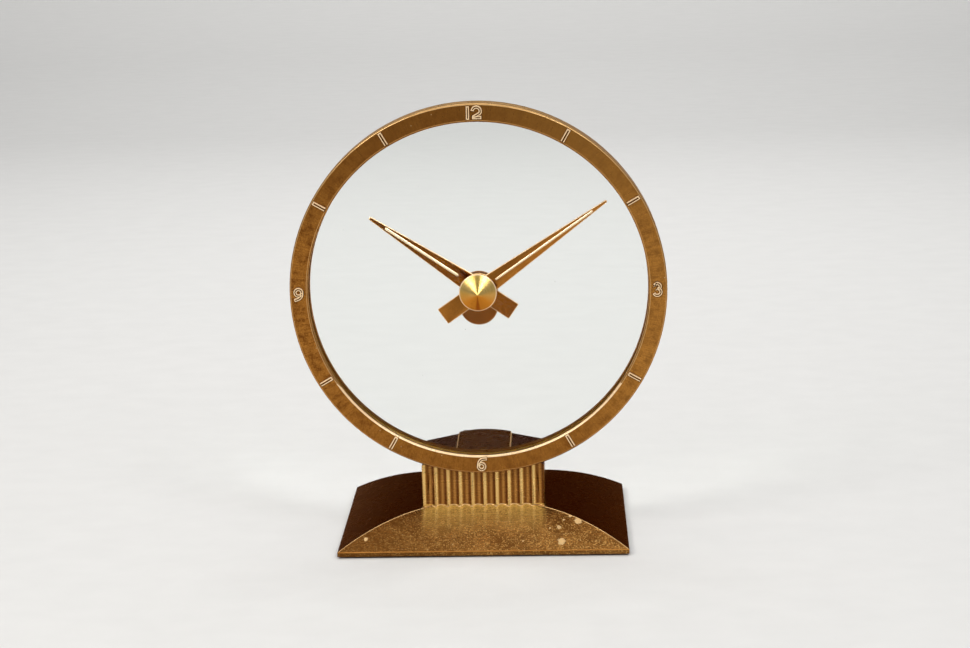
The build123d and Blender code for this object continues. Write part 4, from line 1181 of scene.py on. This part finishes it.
@dataclass
class DialRing:
    """The ring round the glass, its hour batons and its four numerals."""

    bench: Bench
    baton: Stroke = field(default_factory=Stroke)
    figure: Stroke = field(default_factory=lambda: Stroke(width=1.42, groove=0.56))
    baton_outer: float = 93.95
    baton_length: float = 6.8
    numeral_radius: float = 90.2
    stroke_lift: float = 0.05
    edge: float = 0.24
    front_depth: float = 1.0
    rear_share: float = 0.5
    bevel_depth: float = 0.9
    bevel_outer: float = 87.0
    lit_below: float = -48.0
    lit_depth: float = 1.6
    screw_circle: float = 92.6
    screw_count: int = 6
    first_slot: float = 15.0
    slot_step: float = 47.0

    def build(self) -> None:
        """Builds and fits the ring's pieces."""
        for node in ("front_ring", "rear_ring"):
            ring = eased_node(self.bench.nodes[node], f"{node}_finished", self.edge, EDGE, self.edge_share)
            self.mark_edges(ring)
            self.bench.fit(ring, "housing", "gold_plate",
                           ("ring_plating", "painted_highlight_edge", "soft_painted_highlight", "shaded_plating"), node)
        raised = ("raised_painted_shade", "painted_highlight_edge")
        self.bench.fit(self.batons(), "housing", "gold_plate", raised, "hour_markers")
        self.bench.fit(self.numerals(), "housing", "gold_plate", raised)
        self.bench.fit(self.screw_heads(), "housing", "steel", ("steel",), "ring_screws")

    def edge_share(self, spot: Vector) -> float:
        """The share of the edge width at a point: all of it on the ring's front, less elsewhere."""
        return 1.0 if spot.y - RING_FRONT < self.front_depth else self.rear_share

    def mark_edges(self, ring: Thing) -> None:
        """Paints a highlight on the opening's lower part, shade on its wall, and a softer highlight on the
        other edges.

        Args:
            ring: one half of the ring, with its eased edges marked.
        """
        for face in ring.data.polygons:
            spots = [ring.data.vertices[at].co / MM for at in face.vertices]
            inner = max(math.hypot(spot.x, spot.z - DIAL_HEIGHT) for spot in spots) < self.bevel_outer
            depth = sum(spot.y for spot in spots) / len(spots) - RING_FRONT
            height = face.center.z / MM - DIAL_HEIGHT
            if inner and height < self.lit_below and depth < self.lit_depth:
                face.material_index = EDGE
            elif face.material_index:
                face.material_index = PLAIN if inner and depth > self.bevel_depth else THIRD
            if not face.material_index and inner and depth > self.lit_depth:
                face.material_index = FOURTH

    def batons(self) -> Thing:
        """The eight raised batons at the hours without a numeral, each closed at its upper end by a land in
        painted highlight.

        Returns:
            The batons as one object.
        """
        bars = []
        for angle in (math.radians(a) for a in range(0, 360, 30) if a % 90):
            ray = Vector((math.cos(angle), math.sin(angle)))
            ends = [tuple(ray * self.baton_outer), tuple(ray * (self.baton_outer - self.baton_length))]
            bars.append(self.baton.lay(ends if ray.y > 0 else ends[::-1]))
        return joined("hour_batons", bars)

    def numeral(self, figure: str) -> list[tuple[list[Flat], bool]]:
        """The strokes of one figure about the middle of its place.

        Args:
            figure: the hour that it shows.

        Returns:
            Each stroke's path, and whether it is closed.
        """
        if figure == "12":
            hook = arc((1.47, 1.28), 1.98, 175, -35) + [(-0.25, -1.75)]
            bar, foot = [(-2.9, 3.6), (-2.9, -2.85)], [(3.85, -1.95), (-0.6, -1.95)]
            return [(bar, False), (hook, False), (foot, False)]
        if figure == "3":
            return [(arc((-0.1, 1.55), 1.45, 155, -80), False), (arc((-0.1, -1.25), 1.8, 85, -155), False)]
        if figure == "6":
            stem = [(2.3, 2.62)] + bend((0.6, 2.55), (-1.9, 2.1), (-1.97, -1.2))
            return [(loop((-0.35, -1.45), 1.62), True), (stem, False)]
        stem = bend((1.25, 1.3), (1.35, -1.3), (-0.9, -2.15)) + [(-2.6, -2.6)]
        return [(loop((-0.45, 1.35), 1.7), True), (stem, False)]

    def numerals(self) -> Thing:
        """The numerals 12, 3, 6 and 9, upright on the ring's face.

        Returns:
            The numerals as one object.
        """
        bars = []
        reach = self.numeral_radius
        for figure, x, z in (("12", 0.0, reach), ("3", reach, 0.0), ("6", 0.0, -reach), ("9", -reach, 0.0)):
            for order, (path, closed) in enumerate(self.numeral(figure)):
                spots = [(x + a, z + b) for a, b in path]
                bars.append(self.figure.lay(spots, closed, (True, True), self.stroke_lift * order))
        return joined("hour_numerals", bars)

    def screw_heads(self) -> Thing:
        """The countersunk screws in the ring's back, with their slots at various angles.

        Returns:
            The screws as one object.
        """
        screws = []
        for number in range(self.screw_count):
            angle = math.radians(360 * number / self.screw_count)
            middle = (self.screw_circle * math.cos(angle), DIAL_HEIGHT + self.screw_circle * math.sin(angle))
            screws.append(SlottedScrew(middle).build(self.first_slot + self.slot_step * number))
        return joined("ring_screws_finished", screws)


@dataclass
class DialGlass:
    """The glass disc, the toothed rim that carries it, and the hub at its middle."""

    bench: Bench

    def build(self) -> None:
        """Builds and fits the turning pieces."""
        glass = soften([(3.0, 3.9), (87.0, 3.9), (87.0, 6.9), (3.0, 6.9)], 0.25)
        hub = soften([(1.5, 1.4), (4.5, 1.4), (4.5, 2.5), (7.0, 2.5), (7.0, 3.5), (3.0, 3.5), (3.0, 8.3),
                      (1.5, 8.3)], 0.12)
        cone = [(1.5, 0.6), (4.0, 0.6), (4.0, -0.8), (9.2, -0.8), (9.5, -0.9), (9.5, -1.1), (9.36, -1.27),
                (9.02, -1.48), (0.35, -7.0), (0.15, -7.15), (0.0, -7.2), (0.0, -4.0), (1.5, -4.0)]
        # The rim's chamfer carries the painted highlight.
        cone_marks = [PLAIN] * 3 + [EDGE] * 4 + [PLAIN] * 6
        self.bench.fit(turned("glass_plate", glass, 256), "dial", "glass", ("dial_glass",), "glass_disc")
        self.bench.fit(turned("hub", hub, 96), "dial", "brass", ("hand_plating",), "hub_bushing")
        self.bench.fit(turned("cone_nut_finished", cone, 160, cone_marks), "dial", "hand_gold",
                       ("cone_plating", "painted_highlight_edge"), "cone_nut")
        self.bench.ease_node("hub_nut", "dial", "brass", ("turned_brass",), 0.1)
        self.bench.ease_node("rear_cap", "dial", "brass", ("turned_brass",), 0.2)
        self.bench.paint(ring_gear="turned_brass", glass_retaining_ring="turned_brass", arbor="steel",
                         cannon_pinion="turned_brass", hub_washers="red_fibre")


@dataclass
class Hand:
    """One hand: a flat blade with a square tail, a long taper and a rounded rib."""

    bench: Bench
    node: str
    body: str
    angle: float
    front: float
    tip: float
    tip_half: float
    tail: float
    rib: Flat
    rib_half: float
    finish: str = "hand_plating"
    half: float = 4.65
    shoulder: float = 9.0
    thickness: float = 0.8
    edge: float = 0.3
    corner: float = 0.5
    corner_cut: float = 0.15
    rib_rise: float = 0.5
    rib_sunk: float = 0.03
    rib_least: float = 0.02

    def placed(self, along: float, across: float) -> Flat:
        """A point of the hand, turned to where the hand points."""
        cos, sin = math.cos(math.radians(self.angle)), math.sin(math.radians(self.angle))
        return (along * cos - across * sin, along * sin + across * cos)

    def build(self) -> None:
        """Builds the blade and its rib as one piece and fits it."""
        self.bench.fit(joined(f"{self.node}_finished", [self.blade(), self.rounded_rib()]), self.body,
                       "hand_gold", (self.finish, "painted_highlight_edge", "rib_painted_highlight"), self.node)

    def blade(self) -> Thing:
        """The flat blade, with eased edges in a painted highlight.

        Returns:
            The blade, its eased edges in the second material.
        """
        tip = arc((self.tip - self.tip_half, 0.0), self.tip_half, -80, 80, 8)
        upper = [(self.shoulder, self.half), (-self.tail + self.corner, self.half),
                 (-self.tail + self.corner_cut, self.half - self.corner_cut),
                 (-self.tail, self.half - self.corner)]
        outline = tip + upper + [(x, -z) for x, z in reversed(upper)]
        outline = [self.placed(*spot) for spot in outline]
        return ease(plate("blade", outline, self.front, self.front + self.thickness), self.edge, EDGE)

    def rounded_rib(self, rounds: int = 6, steps: int = 24, sides: int = 8) -> Thing:
        """The half round rib, raised along the blade, with rounded ends.

        Args:
            rounds: how many steps round each end.
            steps: how many steps the straight length has.
            sides: how many flats make the half round.

        Returns:
            The rib, in the third material, a painted highlight.
        """
        start, end = self.rib
        nearing = [self.rib_half * (1 - math.cos(math.pi / 2 * n / rounds)) for n in range(rounds)]
        straight = end - start - 2 * self.rib_half
        stations = [start + past for past in nearing]
        stations += [start + self.rib_half + straight * n / steps for n in range(steps + 1)]
        stations += [end - past for past in reversed(nearing)]
        points: list[Spot] = []
        for along in stations:
            near = min(along - start, end - along, self.rib_half)
            width = math.sqrt(max(0.0, self.rib_half ** 2 - (self.rib_half - near) ** 2))
            half = max(self.rib_least, width)
            for side in range(sides + 1):
                turn = math.pi * side / sides
                x, z = self.placed(along, half * math.cos(turn))
                rise = self.rib_rise * half / self.rib_half * math.sin(turn)
                points.append((x, RING_FRONT + self.front + self.rib_sunk - rise, DIAL_HEIGHT + z))
        count, last = sides + 1, len(points) - sides - 1
        faces: Faces = [tuple(range(count)), tuple(range(last, last + count))]
        for first in range(0, last, count):
            faces += band(first, first + count, count)
        return piece("rib", points, faces, [THIRD] * len(faces))


@dataclass
class HandWork:
    """The two hands, the hanging case behind the glass and the wheels in it."""

    bench: Bench

    def build(self) -> None:
        """Builds and fits the hands and the case."""
        Hand(self.bench, "minute_hand", "dial", angle=34.8, front=0.6, tip=79.5, tip_half=0.7, tail=22.0,
             rib=(10.8, 71.0), rib_half=0.6).build()
        Hand(self.bench, "hour_hand", "hour", angle=145.4, front=8.8, tip=66.0, tip_half=0.9, tail=21.5,
             rib=(12.0, 56.5), rib_half=0.72, finish="hour_plating").build()
        # The case's eased edges carry a softer painted highlight.
        for node, width in (("weight_case", 0.45), ("weight_case_cover", 0.15)):
            self.bench.ease_node(node, "weight", "case_bronze", ("case_bronze", "soft_painted_highlight"), width)
        self.bench.ease_node("case_screws", "weight", "steel", ("steel",), 0.12)
        self.bench.paint(counterweight="cast_lead", motion_stud="steel", motion_wheel="turned_brass",
                         hour_wheel="turned_brass")


@dataclass
class Base:
    """The foot, fluted column and neck, with the plate and pads under them."""

    bench: Bench
    edge: float = 0.42
    column_front: float = -30.0
    column_reach: float = 1.4
    flute_foot: float = 20.5
    flute_rounding: float = 1.5
    roof_foot: float = 45.0
    shaded_behind: float = -21.0
    lip_foot: float = 3.0
    lip_top: float = 3.6
    roof_slope: float = 0.5
    casting_share: float = 0.75
    flute_share: float = 0.5

    def edge_share(self, spot: Vector) -> float:
        """The share of the casting's edge width at a point: none on the column's lands.

        Args:
            spot: the point.

        Returns:
            The share.
        """
        if abs(spot.y - self.column_front) < self.column_reach and spot.z > self.flute_foot:
            return self.flute_share if spot.z < self.flute_foot + self.flute_rounding else 0.0
        return self.casting_share

    def mark_faces(self, casting: Thing) -> None:
        """Keeps the unseen rear and the lowest edges plain, marks the foot's lip, and paints shade on the
        neck's roof.

        Args:
            casting: the casting, with its eased edges marked.
        """
        for face in casting.data.polygons:
            rear = max(casting.data.vertices[at].co.y for at in face.vertices) / MM
            height = face.center.z / MM
            if rear > self.shaded_behind and height < self.roof_foot or height < self.lip_foot:
                face.material_index = PLAIN
            elif face.material_index and height < self.lip_top:
                face.material_index = THIRD
            elif not face.material_index and height > self.roof_foot and face.normal.z > self.roof_slope:
                face.material_index = FOURTH

    def build(self) -> None:
        """Builds and fits the base's pieces."""
        node = self.bench.nodes["base_housing"]
        casting = eased_node(node, "base_casting", self.edge, EDGE, self.edge_share)
        self.mark_faces(casting)
        self.bench.fit(casting, "housing", "gold_plate",
                       ("base_plating", "soft_painted_highlight", "lip_edge", "roof_painted_shade"), "base_housing")
        for node, slot, width in (("bottom_plate", "black_paint", 0.15), ("feet", "rubber", 0.3),
                                  ("cord_bushing", "rubber", 0.25), ("plate_screws", "steel", 0.1)):
            self.bench.ease_node(node, "housing", slot, (slot,), width)
        self.bench.paint(saddle_screws="steel")


@dataclass
class Drive:
    """The motor and its pinion, the guide rollers, and the set knob's parts."""

    bench: Bench

    def build(self) -> None:
        """Builds and fits the drive's pieces."""
        self.bench.ease_node("set_knob", "set_turn", "knob_plastic", ("brown_knob",), 0.2)
        self.bench.ease_node("motor_can", "housing", "zinc_plate", ("zinc_sheet",), 0.3)
        self.bench.paint(motor_bracket="zinc_sheet", motor_gear_case="zinc_sheet", motor_screws="steel",
                         motor_shaft="steel", drive_pinion="nylon", set_pinion="nylon", set_shaft="steel",
                         set_bushing="turned_brass", set_washer="steel", set_spring="spring_steel",
                         roller_top="nylon", roller_left="nylon", roller_right="nylon", roller_pins="steel")


@dataclass(frozen=True)
class PhotoCamera:
    """The camera at the photograph's place and angle, its focal length in pixels of a photo so many wide."""

    place: Spot = (40.43, -1016.9, 351.55)
    yaw: float = -0.0379
    pitch: float = 0.2336
    roll: float = -0.0248
    focal: float = 2000.0
    photo_width: float = 970.0
    sensor: float = 36.0
    nearest: float = 0.01
    farthest: float = 50.0

    def build(self) -> None:
        """Sets the camera up and makes it the scene's camera."""
        slope = math.cos(self.pitch)
        ahead = Vector((math.sin(self.yaw) * slope, math.cos(self.yaw) * slope, -math.sin(self.pitch)))
        level = Vector((math.cos(self.yaw), -math.sin(self.yaw), 0))
        above = level.cross(ahead)
        right = level * math.cos(self.roll) + above * math.sin(self.roll)
        up = above * math.cos(self.roll) - level * math.sin(self.roll)
        data = bpy.data.cameras.new("photo_camera")
        data.sensor_fit, data.sensor_width = "HORIZONTAL", self.sensor
        data.lens = self.focal / self.photo_width * self.sensor
        data.clip_start, data.clip_end = self.nearest, self.farthest
        camera = bpy.data.objects.new("photo_camera", data)
        bpy.context.scene.collection.objects.link(camera)
        place = [part * MM for part in self.place]
        camera.matrix_world = Matrix((*zip(right, up, -ahead, place), (0, 0, 0, 1)))
        bpy.context.scene.camera = camera


@dataclass(frozen=True)
class Softbox:
    """One soft lamp, aimed at a place, with its size in metres and its power in watts."""

    name: str
    place: Spot
    size: float
    power: float
    colour: Colour = (1.0, 1.0, 1.0)
    aim: Spot = (0.0, 0.0, 110.0)

    def build(self) -> None:
        """Hangs the lamp."""
        data = bpy.data.lights.new(self.name, "AREA")
        data.shape, data.size, data.energy, data.color = "SQUARE", self.size, self.power, self.colour
        lamp = bpy.data.objects.new(self.name, data)
        bpy.context.scene.collection.objects.link(lamp)
        lamp.location = Vector(self.place) * MM
        lamp.rotation_euler = (Vector(self.aim) * MM - lamp.location).to_track_quat("-Z", "Y").to_euler()


@dataclass(frozen=True)
class Studio:
    """A plain pale floor and backdrop under soft light, with more of it from the front."""

    floor: Colour = (0.74, 0.735, 0.72)
    floor_rough: float = 0.9
    grain_shade: float = 0.97
    sky: Colour = (1.0, 1.0, 1.0)
    ahead: float = 0.40
    behind: float = 0.19
    half_width: float = 4000.0
    sweep: tuple[Flat, ...] = ((-3000, 0.0), (1500, 0.0), (1900, 60.0), (2150, 180.0), (2250, 320.0))
    lamps: tuple[Softbox, ...] = (
        Softbox("key", (-800, -870, 1080), 0.55, 9.6, (1.0, 0.97, 0.93)),
        Softbox("second", (620, -935, 1150), 0.5, 7.6),
        Softbox("top", (0, 150, 1500), 1.3, 6.0),
        Softbox("back", (0, 900, 1500), 1.2, 14.5, aim=(0, 2000, 0)),
    )

    def paper(self) -> bpy.types.Material:
        """The floor's matt paper, with a faint grain.

        Returns:
            The finished material.
        """
        material, n, shader = start_material("floor_paper")
        grain = n.add("ShaderNodeTexNoise", {"Scale": 300.0, "Detail": 3.0}).outputs[0]
        shade = tuple(part * self.grain_shade for part in self.floor)
        colour = n.blend(n.span(grain, *NOISE_SPAN), self.floor, shade)
        n.fill(shader, {"Base Color": colour, "Roughness": self.floor_rough})
        return material

    def light_room(self) -> None:
        """Sets a world that is lighter towards the front."""
        world = bpy.data.worlds.new("studio")
        world.use_nodes = True
        n = Nodes(world.node_tree)
        way = n.add("ShaderNodeTexCoord").outputs["Generated"]
        depth = n.add("ShaderNodeSeparateXYZ", {0: way}).outputs[1]
        light = n.span(depth, -0.6, 0.6, self.ahead, self.behind)
        n.fill(world.node_tree.nodes["Background"], {0: self.sky, 1: light})
        bpy.context.scene.world = world
        bpy.context.scene.view_settings.view_transform = "Standard"

    def build(self) -> None:
        """Lays the floor, hangs the lamps and sets the world."""
        points = [(x, y, z) for y, z in self.sweep for x in (-self.half_width, self.half_width)]
        floor = piece("floor", points, [(n, n + 1, n + 3, n + 2) for n in range(0, len(points) - 2, 2)])
        floor.data.materials.append(self.paper())
        floor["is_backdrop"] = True
        for lamp in self.lamps:
            lamp.build()
        self.light_room()


def corners() -> list[list[float]]:
    """The whole object's box as plain lists."""
    return [list(map(float, corner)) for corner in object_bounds()]


def main() -> None:
    """Builds the clock's looks on its frame and sets up the studio."""
    logging.basicConfig(level=logging.INFO, format="%(name)s: %(message)s")
    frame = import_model()
    PhotoCamera().build()
    Studio().build()
    bench = Bench(frame["nodes"], Finishes(Effects()))
    for assembly in (DialRing(bench), DialGlass(bench), HandWork(bench), Base(bench), Drive(bench)):
        assembly.build()


if __name__ == "__main__":
    main()
